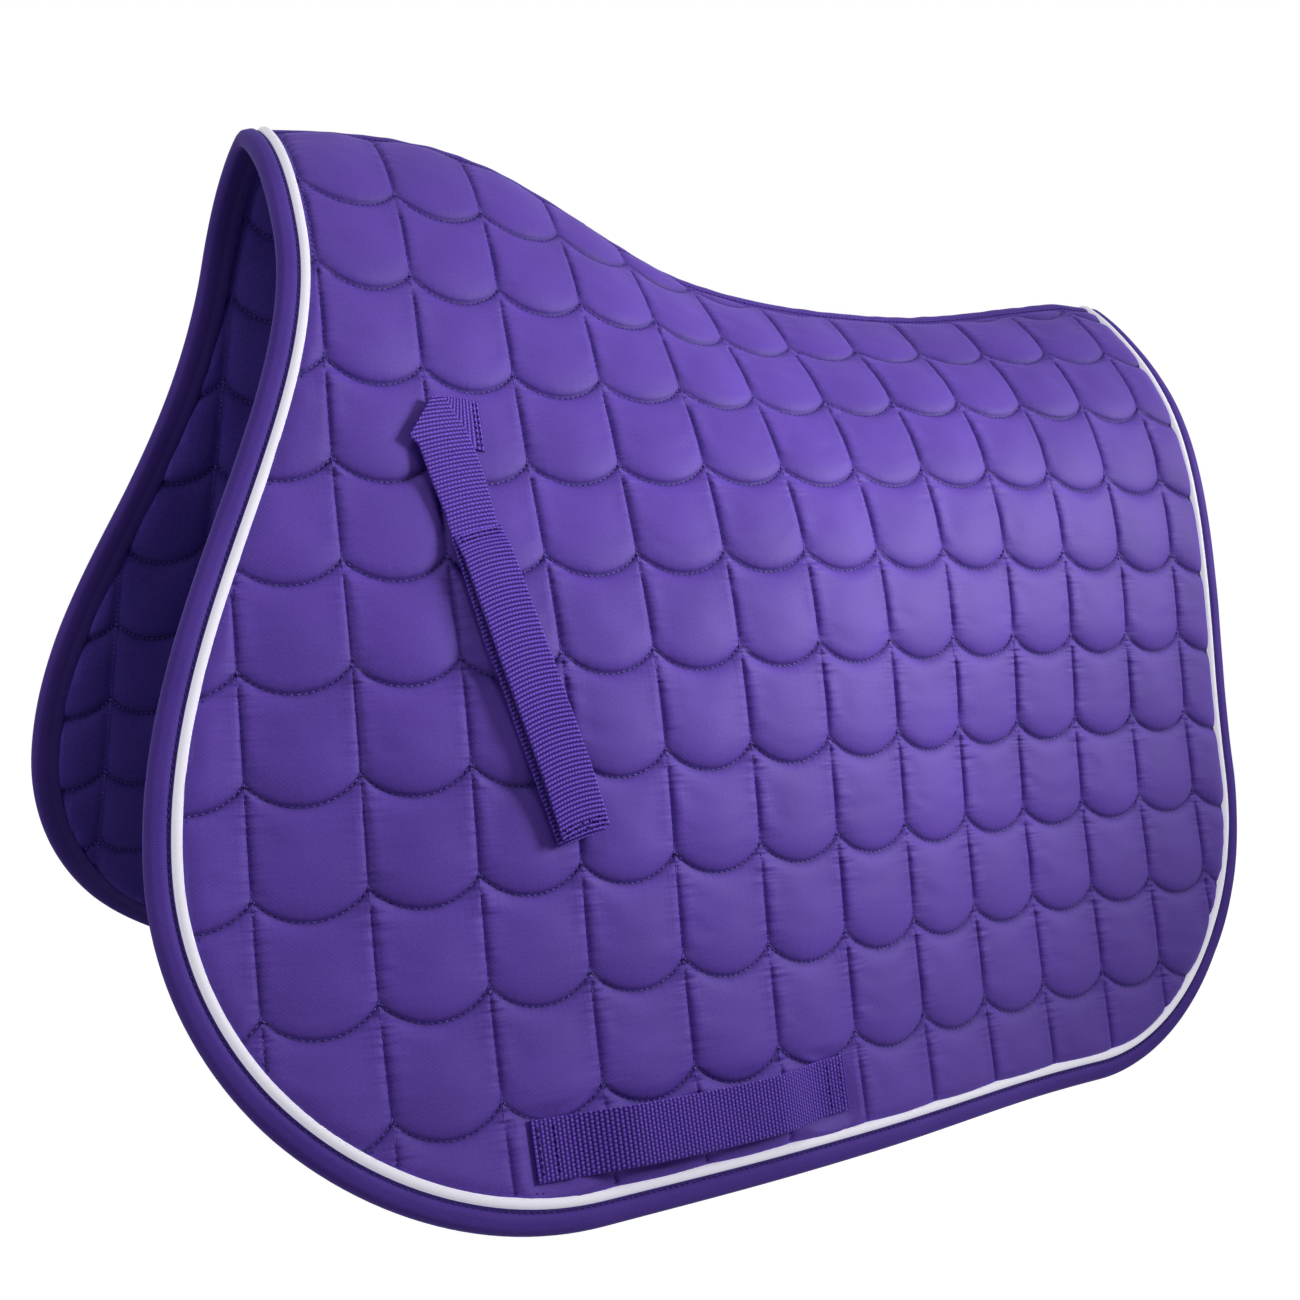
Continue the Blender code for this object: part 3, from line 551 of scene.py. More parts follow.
# how high the cloth stands under each, how much more beside it, and over what distance
pressing = dict(
    sewnEnd=(0.0036, 0.0060, 0.013), freeLoop=(0.0058, 0.0040, 0.013), strapTab=(0.0068, 0.0030, 0.008),
    tabPlace=(0.1242, 0.183), tabHalf=(0.001, 0.014),
)


def pressedLimit(x, depth, q):
    limit = np.full(len(x), q["topLimit"])
    start, length, level = girthLoop["startX"], girthLoop["length"], girthLoop["depth"]
    tab, half = girthLoop["tab"] / 2, girthLoop["width"] / 2
    for place, reach, (low, rise, fade) in (
            ((start + tab, level), (tab, half), pressing["sewnEnd"]),
            ((start + length - tab, level), (tab, half), pressing["sewnEnd"]),
            ((start + length / 2, level), (length / 2, half), pressing["freeLoop"]),
            (pressing["tabPlace"], pressing["tabHalf"], pressing["strapTab"])):
        away = np.maximum(np.abs(x - place[0]) - reach[0], np.abs(depth - place[1]) - reach[1])
        limit = np.minimum(limit, low + rise * smoothStep(np.maximum(away, 0.0) / fade))
    return limit


# how the cloth between the seams is blown up by the wadding
swelling = dict(
    segments=12, quality=5, mass=0.0003, stiffness=15.0, shear=5.0, bending=0.05,
    excess=0.010, pressure=5.0, frames=20, cap=0.0075, height=0.0046, share=0.35,
    columnFade=0.008, rowFade=0.020,
)


def simulateSwell(q, spineMargin):
    # cloth simulation of the flat sheet: its seams and rim are held, and the cloth between them,
    # cut a little too large, swells; returns the height at each crossing of a plain grid
    c = swelling
    bm = quiltSheet(dict(q, segments=(c["segments"], c["segments"]), crowding=(0, 0)), spineMargin)
    before = meshCoords(bm)
    before[:, 2] = 0.3 * quiltLift(before[:, 0], -before[:, 1], q, 3.0)[0]
    setCoords(bm, before)
    pin = bm.verts.layers.float["pin"]
    held = [v.index for v in bm.verts if v[pin] > 0.5 or v.is_boundary]
    sheet = pieceFrom("sheet_to_inflate", bm, twill)
    sheet.vertex_groups.new(name="held").add(held, 1.0, "REPLACE")
    cloth = sheet.modifiers.new("cloth", "CLOTH")
    settings = cloth.settings
    settings.vertex_group_mass = "held"
    settings.quality, settings.mass = c["quality"], c["mass"]
    settings.tension_stiffness = settings.compression_stiffness = c["stiffness"]
    settings.shear_stiffness, settings.bending_stiffness = c["shear"], c["bending"]
    settings.shrink_min = settings.shrink_max = -c["excess"]
    settings.use_pressure, settings.uniform_pressure_force = True, c["pressure"]
    settings.effector_weights.gravity = 0.0
    cloth.collision_settings.use_collision = False
    cloth.point_cache.frame_start, cloth.point_cache.frame_end = 1, c["frames"]
    for step in range(1, c["frames"] + 1):
        scene.frame_set(step)
    mesh = bakedMesh(sheet)
    heights = np.clip([v.co.z for v in mesh.vertices], 0.0, c["cap"])
    bpy.data.meshes.remove(mesh)
    scene.frame_set(1)
    table = np.zeros([(q[k][1] - q[k][0]) * c["segments"] + 1 for k in ("columns", "rows")])
    i, j = (np.round(k).astype(int) for k in gridPlace(before[:, 0], -before[:, 1], q))
    table[i, j] = heights
    print("cells swell to", round(1000 * float(np.percentile(heights, 90)), 1), "mm")
    return table


def gridPlace(x, depth, q):
    places = x / q["pitch"], (depth - arcSag(x)) / q["pitch"]
    n = swelling["segments"]
    return [np.clip((place - q[k][0]) * n, 0, (q[k][1] - q[k][0]) * n)
            for place, k in zip(places, ("columns", "rows"))]


def swellAt(table, x, depth, q):
    u, v = (np.minimum(k, size - 1.001) for k, size in zip(gridPlace(x, depth, q), table.shape))
    return between(table, u, v, smoothStep)


def quiltCloth(name, q, spineMargin, outward, seed, swell=None):
    bm = quiltSheet(q, spineMargin)
    flat = meshCoords(bm)
    x, depth = flat[:, 0], -flat[:, 1]
    writeFlatMap(bm)
    lift, toColumn, toRow = quiltLift(x, depth, q, seed)
    if swell is not None:
        clear = smoothStep(np.minimum(toColumn / swelling["columnFade"], toRow / swelling["rowFade"]))
        blown = swellAt(swell, x, depth, q) * (q["crown"] / swelling["height"])
        lift += swelling["share"] * clear * (blown - lift)
    limit = pressedLimit(x, depth, q) if outward > 0 else q["topLimit"]
    flat[:, 2] = q["stitchLevel"] + np.minimum(lift, limit - q["stitchLevel"])
    setCoords(bm, flat)
    atCusp = np.exp(-(((depth - arcSag(x)) / q["pitch"]) % 1 * q["pitch"] / q["cuspWidth"]) ** 2)
    # painted shade: the cloth is marked darker down in the row seams, and a little in the column seams
    seamShadeFalloff = [np.exp(-t / q["seamWidth"]) for t in (toRow, toColumn)]
    pulled = [np.exp(-t / q["puckerReach"]) for t in (toRow, toColumn)]
    writeMarks(bm, seam=np.maximum(seamShadeFalloff[0], q["columnSeamShade"] * seamShadeFalloff[1]), pullDown=q["rowPull"] * pulled[0],
               pullAcross=pulled[1] * (1 - q["cuspPull"] + q["cuspPull"] * atCusp))
    if outward < 0:
        bmesh.ops.scale(bm, verts=bm.verts, vec=(1, 1, -1))
        bmesh.ops.reverse_faces(bm, faces=bm.faces)
    if sum(f.normal.z for f in bm.faces) * outward < 0:
        bmesh.ops.reverse_faces(bm, faces=bm.faces)
    return walledMesh(pieceFrom(name, bm, twill), q["clothThickness"])


def meshCopy(mesh):
    bm = bmesh.new()
    bm.from_mesh(mesh)
    return bm


swell = simulateSwell(quilt, 0.0)
coverMesh = quiltCloth("cover_cloth", quilt, quilt["tapeHalfWidth"] - 0.003, 1, 3.0, swell)
liningMesh = quiltCloth("lining_cloth", liningQuilt, 0.0, -1, 23.0, swell)
for word, side in flaps:
    for ending, flatMesh, material, slot, fill, nodes in (
            ("_quilted_cover", coverMesh, twill, "twill", 0.6, ("_outer_shell", "_wadding")),
            ("_quilted_lining", liningMesh, brushed, "brushed", 0.4, ("_lining",))):
        piece = layOnFlap(word + ending, meshCopy(flatMesh), side, material)
        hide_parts(*(word + node for node in nodes))
        acrossSpine(piece)
print("quilting made")


# stitches: short beads of thread along every seam
stitch = dict(
    pitch=0.0031, length=0.0022, width=0.0010, height=0.00075, sink=0.0001,
    rimGap=0.0040, tapeGap=0.0015, liningGap=0.002,
)


def stitchesAlong(lines):
    # evenly spaced places along flat lines, with the way the line runs at each
    pitch, places, ways = stitch["pitch"], [], []
    for points in lines:
        points = np.asarray(points, float)
        at = runningLength(points)
        stops = np.arange(pitch / 2, at[-1], pitch)
        places.append(np.stack([np.interp(stops, at, part) for part in points.T], 1))
        ahead, behind = (np.stack([np.interp(stops + shift, at, part) for part in points.T[:2]], 1)
                         for shift in (pitch / 4, -pitch / 4))
        way = ahead - behind
        ways.append(way / np.maximum(np.linalg.norm(way, axis=1), 1e-9)[:, None])
    return np.concatenate(places), np.concatenate(ways)


def beads(places, ways, lifts, around=5):
    # one small bead repeated, then each copy is laid along its seam, still on the flat pattern
    bm = bmesh.new()
    bmesh.ops.create_uvsphere(bm, u_segments=around, v_segments=3, radius=0.5)
    perBead = len(bm.verts)
    shape = meshCoords(bm) * [stitch[k] for k in ("length", "width", "height")]
    bead = pieceFrom("bead", bm, thread)
    copies = bead.modifiers.new("copies", "ARRAY")
    copies.count = len(places)
    copies.use_relative_offset, copies.use_constant_offset = False, True
    copies.constant_offset_displace = (1.0, 0.0, 0.0)
    mesh = bakedMesh(bead)
    index = np.arange(len(mesh.vertices))
    local, index = shape[index % perBead], index // perBead
    way, place = ways[index], places[index]
    x = place[:, 0] + local[:, 0] * way[:, 0] - local[:, 1] * way[:, 1]
    y = -place[:, 1] - local[:, 0] * way[:, 1] - local[:, 1] * way[:, 0]
    flat = np.c_[x, y, np.broadcast_to(lifts, len(places))[index] + local[:, 2]]
    mesh.vertices.foreach_set("co", flat.ravel())
    bm = meshCopy(mesh)
    bpy.data.meshes.remove(mesh)
    writeFlatMap(bm)
    bmesh.ops.recalc_face_normals(bm, faces=bm.faces)
    return bm


def sewOn(name, bm, side, material):
    sewn = layOnFlap(name, bm, side, material)
    acrossSpine(sewn)


def quiltingLines():
    pitch, columns, rows = quilt["pitch"], quilt["columns"], quilt["rows"]
    depths = np.linspace(-0.02, 0.56, 60)
    lines = [np.c_[np.full(60, column * pitch), depths] for column in range(columns[0] + 1, columns[1])]
    for row in range(quilt["firstRow"], rows[1] + 1):
        for column in range(*columns):                  # each scallop ends just short of the column seams
            xs = np.linspace(column * pitch, (column + 1) * pitch, 24)
            xs[0], xs[-1] = xs[0] + 1e-6, xs[-1] - 1e-6
            lines.append(np.c_[xs, row * pitch + arcSag(xs)])
    return lines


def sewQuilting():
    places, ways = stitchesAlong(quiltingLines())
    x, depth = places.T
    clear, s = rimGap(x, depth)[0] > stitch["rimGap"], depth - spineAt(x)
    lift = quilt["stitchLevel"] + stitch["height"] / 2 - stitch["sink"]
    for word, side in flaps:
        for ending, spineGap, level, around, slot in (
                ("_quilt_stitching", quilt["tapeHalfWidth"] + stitch["tapeGap"], lift, 5, "twill"),
                ("_lining_stitching", stitch["liningGap"], -lift, 4, "brushed")):
            keep = clear & (s > spineGap)
            sewOn(word + ending, beads(places[keep], ways[keep], level, around), side, thread)


sewQuilting()
print("quilting sewn")


# edge binding and piping: each runs once round both flaps, over the spine at both ends
edging = dict(
    pipingRadius=0.00235, pipingLift=0.0042, pipingSides=12, width=0.0132,
    seat=0.0021, crown=0.0053, under=-0.0047, turned=0.0040, seamAt=0.0038, seamWidth=0.0009,
    seamLift=0.0042, quiltSeamAt=-0.0040, quiltSeamLift=0.0044, unevenSpacing=0.028,
)


def sweptRing(profile, unevenness, seed):
    # profile points are (distance outside the piping line, lift); returns a ring closed round both flaps
    x, depth, nx, nd = (np.concatenate([line, line[-2:0:-1]]) for line in (*rimPath.T, *rimNormals.T))
    onOff = np.arange(len(x)) >= len(rimPath)
    count, sides, profile = len(x), len(profile), np.array(profile)
    bm, i, j = flatGrid(count, sides)
    length = runningLength(np.c_[x, depth])
    length = np.append(length, length[-1] + pattern["pathStep"])
    around = runningLength([*profile, profile[0]])
    writeFlatMap(bm, np.c_[length[i], around[j]])
    i, j = i % count, j % sides
    across, lift = profile[j].T
    # painted shade in the binding's seam groove beside the piping
    writeMarks(bm, seam=np.exp(-np.abs(across - edging["seamAt"] + 0.0006) / edging["seamWidth"]))
    lift = lift * (1 + unevenness * waver(length[i] / edging["unevenSpacing"], np.zeros(len(i)), seed))
    px, pd = x[i] + nx[i] * across, depth[i] + nd[i] * across
    atSpine = (i == 0) | (i == len(rimPath) - 1)
    places = draped(px, np.where(atSpine, spineAt(px), pd), lift)
    places[:, 1] *= np.where(atSpine, 0.0, np.where(onOff[i], -1.0, 1.0))
    setCoords(bm, places)
    bmesh.ops.remove_doubles(bm, verts=bm.verts, dist=0.00002)
    bmesh.ops.recalc_face_normals(bm, faces=bm.faces)
    return bm


def bindingProfile():
    seat, seam, width, crown, under, turned = (
        edging[k] for k in ("seat", "seamAt", "width", "crown", "under", "turned"))
    over = [(seat, 0.0034), (seat + 0.0007, 0.0041), (seam - 0.0004, 0.0042), (seam, 0.0038),
            (seam + 0.0005, 0.0044), (seam + 0.0014, crown - 0.0003), (seam + 0.0026, crown),
            (width - 0.0056, crown), (width - turned, crown - 0.0004)]
    turn = [(width - turned + turned * math.sin(a), (crown - 0.0004) * math.cos(a))
            for a in np.linspace(0, math.pi, 12)[1:-1]]
    below = [(width - turned, under), (seam + 0.0010, under), (seam, under + 0.0004),
             (seam - 0.0010, under), (-0.0018, under), (-0.0022, under + 0.0004),
             (-0.0020, -0.0030), (0.0, -0.0015)]
    return over + turn + below + [(0.0, 0.0015)]


def pipingProfile():
    radius, lift, sides = (edging["piping" + word] for word in ("Radius", "Lift", "Sides"))
    angles = np.linspace(0, 2 * math.pi, sides, endpoint=False)
    return [(radius * math.cos(a), lift + radius * math.sin(a)) for a in angles]


ring = sweptRing(bindingProfile(), 0.06, 31.0)
overBoth(pieceFrom("edge_binding_tape", ring, bindingCloth), "edge_binding")
ring = sweptRing(pipingProfile(), 0.02, 37.0)
overBoth(pieceFrom("edge_piping_cord", ring, pipingCloth), "edge_piping")


def sewEdges():
    # one row of stitches on the binding, one on the quilting, close to either side of the piping
    lift = np.ones(len(rimPath))
    places, ways = stitchesAlong([
        np.c_[rimPath + rimNormals * edging[row + "At"], lift * edging[row + "Lift"]]
        for row in ("seam", "quiltSeam")])
    for word, side in flaps:
        sewOn(word + "_edge_stitching", beads(places, ways, places[:, 2]), side, edgeThread)


sewEdges()
print("edges bound")


# binding over the spine seam: one strip across the ridge, with a few cross creases
spineTape = dict(
    halfWidth=0.0113, lift=0.0047, edgeLift=0.0033, stepX=0.003, crease=0.0007, creaseSpacing=0.012,
    stitchAt=0.0094, stitchLift=0.0043, stitchWidth=0.0006, stitchEnd=0.004, endTuck=0.0008,
    thickness=0.0010,
)


def spineStrip():
    t = spineTape
    tuck = edging["pipingRadius"] - t["endTuck"]
    start, end = pattern["frontEdgeX"] + tuck, pattern["rearEdgeX"] - tuck
    count, across = round((end - start) / t["stepX"]), 22
    bm, i, j = flatGrid(count, across)
    x, share = start + i / count * (end - start), 2 * j / across - 1
    q, near = share * t["halfWidth"], np.abs(share)
    lift = t["edgeLift"] + (t["lift"] - t["edgeLift"]) * (1 - near**6)
    dip = -t["crease"] * np.exp(-((near * t["halfWidth"] - t["stitchAt"]) / t["stitchWidth"]) ** 2)
    fold = waver((x + 0.35 * q) / t["creaseSpacing"], q * 0.35 / t["creaseSpacing"], 41.0)
    writeFlatMap(bm, np.c_[x, q])
    places = draped(x, spineAt(x) + np.abs(q), lift + dip + t["crease"] * 0.8 * fold * (1 - near**2))
    places[:, 1] *= np.where(q > 0, 1, -1)
    setCoords(bm, places)
    bmesh.ops.reverse_faces(bm, faces=bm.faces)
    strip = walledMesh(pieceFrom("spine_strip", bm, bindingCloth), t["thickness"])
    return newObject("spine_binding_tape", strip, [bindingCloth])


overBoth(spineStrip(), "spine_binding")
first, last = pattern["frontEdgeX"] + spineTape["stitchEnd"], pattern["rearEdgeX"] - spineTape["stitchEnd"]
xs = np.linspace(first, last, 200)
places, ways = stitchesAlong([np.c_[xs, spineAt(xs) + spineTape["stitchAt"]]])
for word, side in flaps:
    sewOn(word + "_spine_stitching", beads(places, ways, spineTape["stitchLift"]), side, edgeThread)
print("spine bound")


# webbing: a strip between two flat edge lines, ribbed across, closed all round
def webbingStrip(leftLine, rightLine, lifts, thickness, step, ribs, centre=None):
    # leftLine and rightLine are flat (x, depth) corners, lifts the height of the underside at each
    left, right, lifts = (np.asarray(line, float) for line in (leftLine, rightLine, lifts))
    if lifts.ndim == 1:
        lifts = np.c_[lifts, lifts]
    at = runningLength((left + right) / 2)
    count, faceCount = max(2, round(at[-1] / step)), ribs["across"]
    shape = [(k / faceCount, 1.0) for k in range(faceCount + 1)] + [(1 - k / 6, 0.0) for k in range(7)]
    bm, i, j = flatGrid(count, len(shape))
    share, top = np.array(shape)[j % len(shape)].T
    along = i / count * at[-1]
    leftAt, rightAt, heights = (np.stack([np.interp(along, at, part) for part in line.T], 1)
                                for line in (left, right, lifts))
    base = heights[:, 0] * (1 - share) + heights[:, 1] * share
    place = leftAt + (rightAt - leftAt) * share[:, None]
    across = (share - 0.5) * np.linalg.norm(right - left, axis=1).mean()
    if centre is not None:
        along, across = alongLine(place, centre)
    arched = along + ribs.get("arch", 0.0) * (1 - (2 * share - 1) ** 2)
    edge = 1 - np.clip(np.abs(share - 0.5) * 2 - 0.93, 0, 1) / 0.07     # the selvedges are rounded off
    rib = 0.5 - 0.5 * np.cos(2 * math.pi * arched / ribs["pitch"])
    row = np.floor(arched / ribs["pitch"])      # short floats of yarn cross each rib, further on in the next
    turn = np.where(across > 0.002, -1, 1) if ribs.get("herringbone") else 1
    floats = 0.5 + 0.5 * np.cos(2 * math.pi * (across / ribs["float"] + ribs["step"] * row * turn))
    rib *= 1 - ribs["cut"] * (1 - floats)
    body = thickness * (0.72 + 0.28 * np.sqrt(np.clip(edge, 0, 1)))
    lift = base + np.where(top > 0.5, body + ribs["height"] * (rib - 0.5) * edge, thickness - body)
    # the rib height also colours the ribs lighter and the gaps darker, as painted highlight and shade
    writeMarks(bm, relief=np.where(top > 0.5, rib, 0.4))
    writeFlatMap(bm, np.c_[across, arched])
    setCoords(bm, np.c_[place[:, 0], -place[:, 1], lift])
    bmesh.ops.remove_doubles(bm, verts=bm.verts, dist=0.000005)
    bmesh.ops.holes_fill(bm, edges=[e for e in bm.edges if e.is_boundary], sides=0)
    bmesh.ops.recalc_face_normals(bm, faces=bm.faces)
    return bm


def alongLine(points, line):
    # how far along a straight flat line each point lies, and how far to its right
    start, end = (np.asarray(place, float) for place in line)
    way = (end - start) / np.linalg.norm(end - start)
    rel = points - start
    return rel @ way, rel[:, 0] * way[1] - rel[:, 1] * way[0]


def joinFlat(*parts):
    whole = bmesh.new()
    for part in parts:
        mesh = bpy.data.meshes.new("part")
        part.to_mesh(mesh)
        part.free()
        whole.from_mesh(mesh)
        bpy.data.meshes.remove(mesh)
    return whole


def setMaterial(bm, number):
    for face in bm.faces:
        face.material_index = number
    return bm


def legPoint(s, across=0.0):
    # a place on the limp leg, which bows a little towards the front of the pad
    lean = math.radians(strap["lean"])
    across -= strap["bow"] * math.sin(math.pi * min(max(s - 0.02, 0.0) / 0.150, 1.0))
    x = strap["x"] + s * math.sin(lean) + across * math.cos(lean)
    return x, strap["depth"] + s * math.cos(lean) - across * math.sin(lean)


def legLines(stations, halfWidth):
    left = [legPoint(s, offset - halfWidth) for s, offset in stations]
    return left, [legPoint(s, offset + halfWidth) for s, offset in stations]


def strapPlace(s, lift, side):
    x, depth = legPoint(s)
    place = draped(np.array([x]), np.array([depth]), np.array([lift]))[0]
    return Vector((place[0], -side * place[1], place[2]))


def sewnRow(points, lift):
    return setMaterial(beads(*stitchesAlong([points]), lift), 1)


def crossRow(s, inset, lift):
    half = strap["width"] / 2 - inset
    return sewnRow([legPoint(s, -half), legPoint(s, half)], lift)


def zigzagRow(s, depth, turns, lift):
    half = strap["width"] / 2 - 0.0015
    points = [legPoint(s + depth * (k % 2), -half + 2 * half * k / turns) for k in range(turns + 1)]
    return sewnRow(points, lift)


def upperWebbing():
    # the sewn tab, and the webbing folded over it on a slant and hanging down as the under leg
    s = strap
    half, seam = s["width"] / 2, s["sewnX"]
    stations = [(0.012, 0.0), (0.030, 0.0), (0.042, -0.0008), (0.093, -0.0022), (0.145, -0.0020),
                (0.186, -0.0010), (s["legLength"], -0.0004)]
    left, right = legLines(stations, half)
    left[0] = (left[0][0] - 0.0012, left[0][1])
    right[0] = (right[0][0] + 0.0014, right[0][1])
    left = [s["tip"], (0.0880, 0.1943), (0.0903, 0.1965)] + left
    right = [s["creaseTop"], (0.1066, 0.1697), (0.1165, 0.1880)] + right
    under = s["underLift"]
    lifts = [(0.0120, 0.0104), (0.0118, 0.0106), (0.0112, 0.0107), (0.0106, 0.0106),
             (under + 0.0003, under + 0.0003)] + [(under, under)] * 5
    axis = [legPoint(-0.05), legPoint(0.0)]
    ribs = dict(pitch=s["ribPitch"], height=s["ribHeight"], across=64, arch=0.0008,
                float=0.0019, step=0.33, cut=0.6, herringbone=True)
    upper = webbingStrip(left, right, lifts, s["webThickness"], s["ribPitch"] / 5, ribs, axis)
    tabLeft = [(seam, 0.1965), (seam - 0.011, 0.1955), (seam - 0.024, 0.1935), (s["tip"][0] + 0.0040, 0.1915)]
    tabRight = [(seam, 0.1693), (seam - 0.009, 0.1690), (seam - 0.017, 0.1690),
                (s["creaseTop"][0] + 0.0020, 0.1697)]
    tabRibs = dict(ribs, arch=0.0, step=0.5, herringbone=False)
    tab = webbingStrip(tabLeft, tabRight, [0.0072, 0.0088, 0.0095, 0.0098], 0.0009, s["ribPitch"] / 5, tabRibs)
    rows = [sewnRow([(seam - inset, 0.1702), (seam - inset, 0.1958)], lift)
            for inset, lift in ((0.0014, 0.0083), (0.0034, 0.0087))]
    rows += [crossRow(0.187, 0.002, under + 0.0014), crossRow(0.191, 0.002, under + 0.0014)]
    return joinFlat(upper, tab, *rows)


def coverWebbing():
    # the ribbed cover leg: sewn to the under leg at its top, box stitched at its foot
    s = strap
    half, top, high = s["width"] / 2, s["coverStart"], s["coverLift"]
    stations = [(top + a, 0.0) for a in (0.0, 0.006, 0.012, 0.03, 0.06, 0.09, 0.12, s["coverLength"])]
    left, right = legLines(stations, half)
    lifts = [s["underLift"] + 0.0014, s["underLift"] + 0.0024, high - 0.0003] + [high] * 5
    ribs = dict(pitch=s["ribPitch"], height=s["ribHeight"] * 1.25, across=64, arch=0.0014,
                float=0.0016, step=0.36, cut=0.55)
    cover = webbingStrip(left, right, lifts, 0.0013, s["ribPitch"] / 7, ribs, [legPoint(0.03), legPoint(0.17)])
    rows = [crossRow(top + 0.0016, 0.0015, s["underLift"] + 0.0031),
            crossRow(top + 0.0038, 0.0015, s["underLift"] + 0.0037),
            zigzagRow(top + s["coverLength"] - 0.0058, 0.0032, 9, high + 0.0015),
            crossRow(top + s["coverLength"] - 0.0012, 0.0015, high + 0.0014)]
    return joinFlat(cover, *rows)


def fastenerStrip(lift):
    s = strap
    start, end = s["coverStart"] + s["tapeMargin"], s["coverStart"] + s["coverLength"] - s["tapeMargin"]
    left, right = legLines([(start + (end - start) * k / 6, 0.0) for k in range(7)], s["width"] / 2 - 0.0004)
    pile = dict(pitch=0.0016, height=0.00035, across=48, float=0.0016, step=0.5, cut=0.7)
    return webbingStrip(left, right, [lift] * 7, 0.0009, 0.0004, pile)


def makeStraps():
    for word, side in flaps:
        half, leg = word + "_half", word + "_strap"
        piece = layOnFlap(word + "_strap_webbing", upperWebbing(), side, webbing, edgeThread)
        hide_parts(word + "_strap_anchor", word + "_strap_under_leg")
        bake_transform(piece, half, leg, start=strapPlace(-0.002, 0.011, side), end=strapPlace(0.014, 0.011, side))
        piece = layOnFlap(word + "_strap_cover", coverWebbing(), side, webbing, edgeThread)
        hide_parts(word + "_strap_cover_leg")
        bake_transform(piece, leg, leg + "_cover", start=strapPlace(0.043, 0.0145, side),
                 end=strapPlace(0.053, 0.0145, side))
        for ending, lift, material, body in (("loop", strap["tapeLift"], loopPile, leg),
                                             ("hook", strap["hookLift"], hookTape, leg + "_cover")):
            piece = layOnFlap(f"{word}_{ending}_fastener", fastenerStrip(lift), side, material)
            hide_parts(f"{word}_strap_{ending}_tape")
            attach(piece, body)


makeStraps()
print("straps made")


def makeGirthLoops():
    g = girthLoop
    half, bowHalf, halfWidth = g["length"] / 2, g["length"] / 2 - g["tab"], g["width"] / 2
    places = np.linspace(-half, half, 61)
    rise = g["bow"] * smoothStep(2 * (1 - np.abs(places) / bowHalf)) * (np.abs(places) < bowHalf)
    middle = g["startX"] + half
    sag = g["sag"] * (1 - (places / half) ** 2) - 0.0012
    left, right = (np.c_[middle + places, g["depth"] + sag + edge] for edge in (halfWidth, -halfWidth))
    ribs = dict(pitch=g["ribPitch"], height=g["relief"], across=68, float=g["crossPitch"], step=0.5, cut=0.75)
    for word, side in flaps:
        strip = webbingStrip(left, right, 0.0042 + rise, g["thickness"], g["ribPitch"] / 5, ribs)
        seams = [sewnRow([(middle + end * (half - inset), g["depth"] + edge)
                          for edge in (0.002 - halfWidth, halfWidth - 0.002)], 0.0059)
                 for end in (-1, 1) for inset in (0.0030, 0.0110)]
        piece = layOnFlap(word + "_girth_keeper", joinFlat(strip, *seams), side, webbing, edgeThread)
        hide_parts(word + "_girth_loop")
        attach(piece, word + "_half")


makeGirthLoops()
print("girth loops made")


# plain white surroundings: the floor keeps the shadow, the world is white to the camera only
surround = dict(floorSize=12.0, floorPlace=(0.0, 0.0, -0.0004), world=0.09, glow=0.98)


def seenDirectly(tree):
    path = addNode(tree, "LightPath").outputs
    seen = path["Is Camera Ray"]
    for ray in ("Is Glossy Ray", "Is Transmission Ray"):
        seen = addNode(tree, "Math", {0: seen, 1: path[ray]}, operation="MAXIMUM").outputs[0]
    return seen


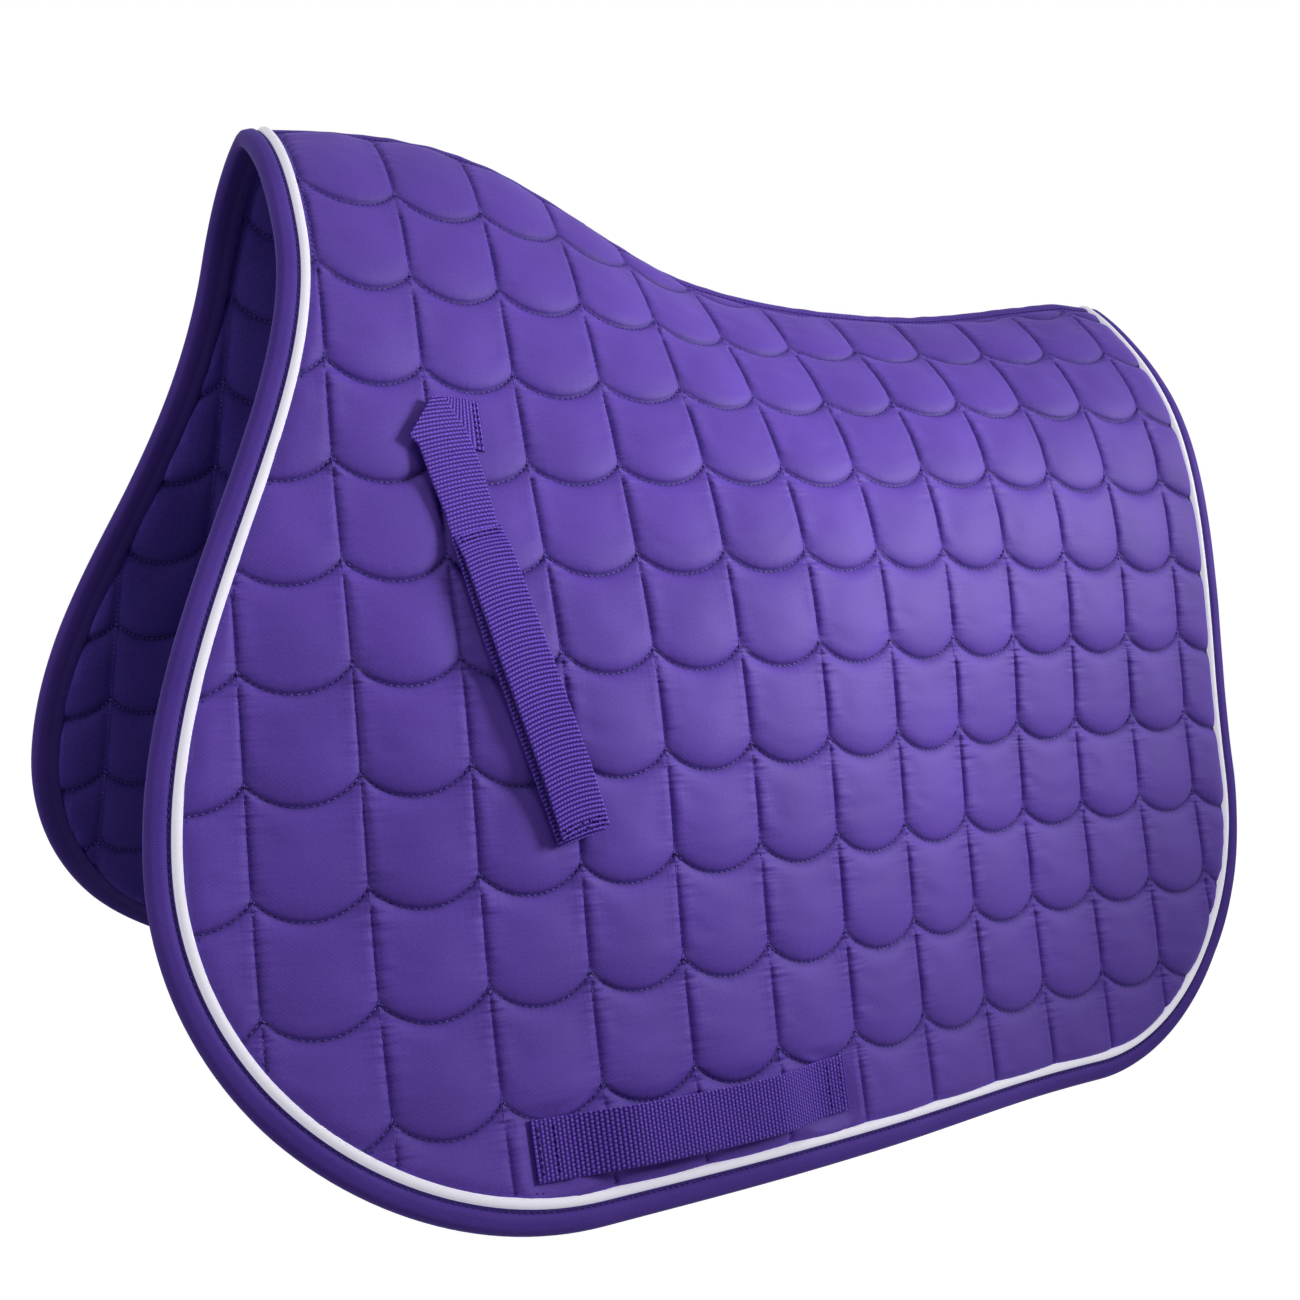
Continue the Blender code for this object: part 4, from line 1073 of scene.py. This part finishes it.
def addFloor():
    bm = bmesh.new()
    bmesh.ops.create_grid(bm, x_segments=2, y_segments=2, size=surround["floorSize"] / 2)
    bmesh.ops.translate(bm, verts=bm.verts, vec=surround["floorPlace"])
    material, tree = newMaterial("white_studio_paper")
    paper, shaded = (addNode(tree, "BsdfDiffuse", {"Color": linearColour(tone)}).outputs[0]
                     for tone in ("#b8b8b8", "#a2a2a2"))
    glow = addNode(tree, "Emission", {"Color": (1, 1, 1, 1), "Strength": surround["glow"]}).outputs[0]
    white = addNode(tree, "AddShader", {0: shaded, 1: glow}).outputs[0]
    both = addNode(tree, "MixShader", {0: seenDirectly(tree), 1: paper, 2: white}).outputs[0]
    addNode(tree, "OutputMaterial", {"Surface": both})
    pieceFrom("studio_floor", bm, material)


def addWorld():
    scene.world = bpy.data.worlds.new("studio_world")
    scene.world.use_nodes = True
    tree = scene.world.node_tree
    tree.nodes.clear()
    fill, white = (addNode(tree, "Background", {"Color": linearColour(tone), "Strength": level}).outputs[0]
                   for tone, level in (("#f4f6ff", surround["world"]), ("#ffffff", 1.0)))
    both = addNode(tree, "MixShader", {0: seenDirectly(tree), 1: fill, 2: white}).outputs[0]
    addNode(tree, "OutputWorld", {"Surface": both})


lamps = dict(
    key=dict(place=(0.79, -0.73, 0.72), aim=(0.025, -0.15, 0.335), size=0.50, spread=42, power=0.98),
    upper=dict(place=(-0.34, -0.67, 1.75), aim=(0.10, -0.15, 0.30), size=0.5, spread=110, power=1.45),
    side=dict(place=(-1.40, -0.40, 0.50), aim=(-0.10, 0.10, 0.25), size=0.5, spread=60, power=0.36),
    back=dict(place=(0.25, 1.20, 0.75), aim=(0.00, 0.16, 0.28), size=0.6, spread=60, power=0.75),
)


def addLamps():
    for name, lamp in lamps.items():
        data = bpy.data.lights.new(name + "_lamp", "AREA")
        data.shape, data.size, data.energy = "DISK", lamp["size"], lamp["power"]
        data.spread = math.radians(lamp["spread"])
        obj = bpy.data.objects.new(name + "_lamp", data)
        scene.collection.objects.link(obj)
        obj.location = lamp["place"]
        aim = Vector(lamp["aim"]) - Vector(lamp["place"])
        obj.rotation_mode = "QUATERNION"
        obj.rotation_quaternion = aim.to_track_quat("-Z", "Y")


addFloor()
addWorld()
addLamps()
scene.view_settings.view_transform = "Standard"
print("studio lit")
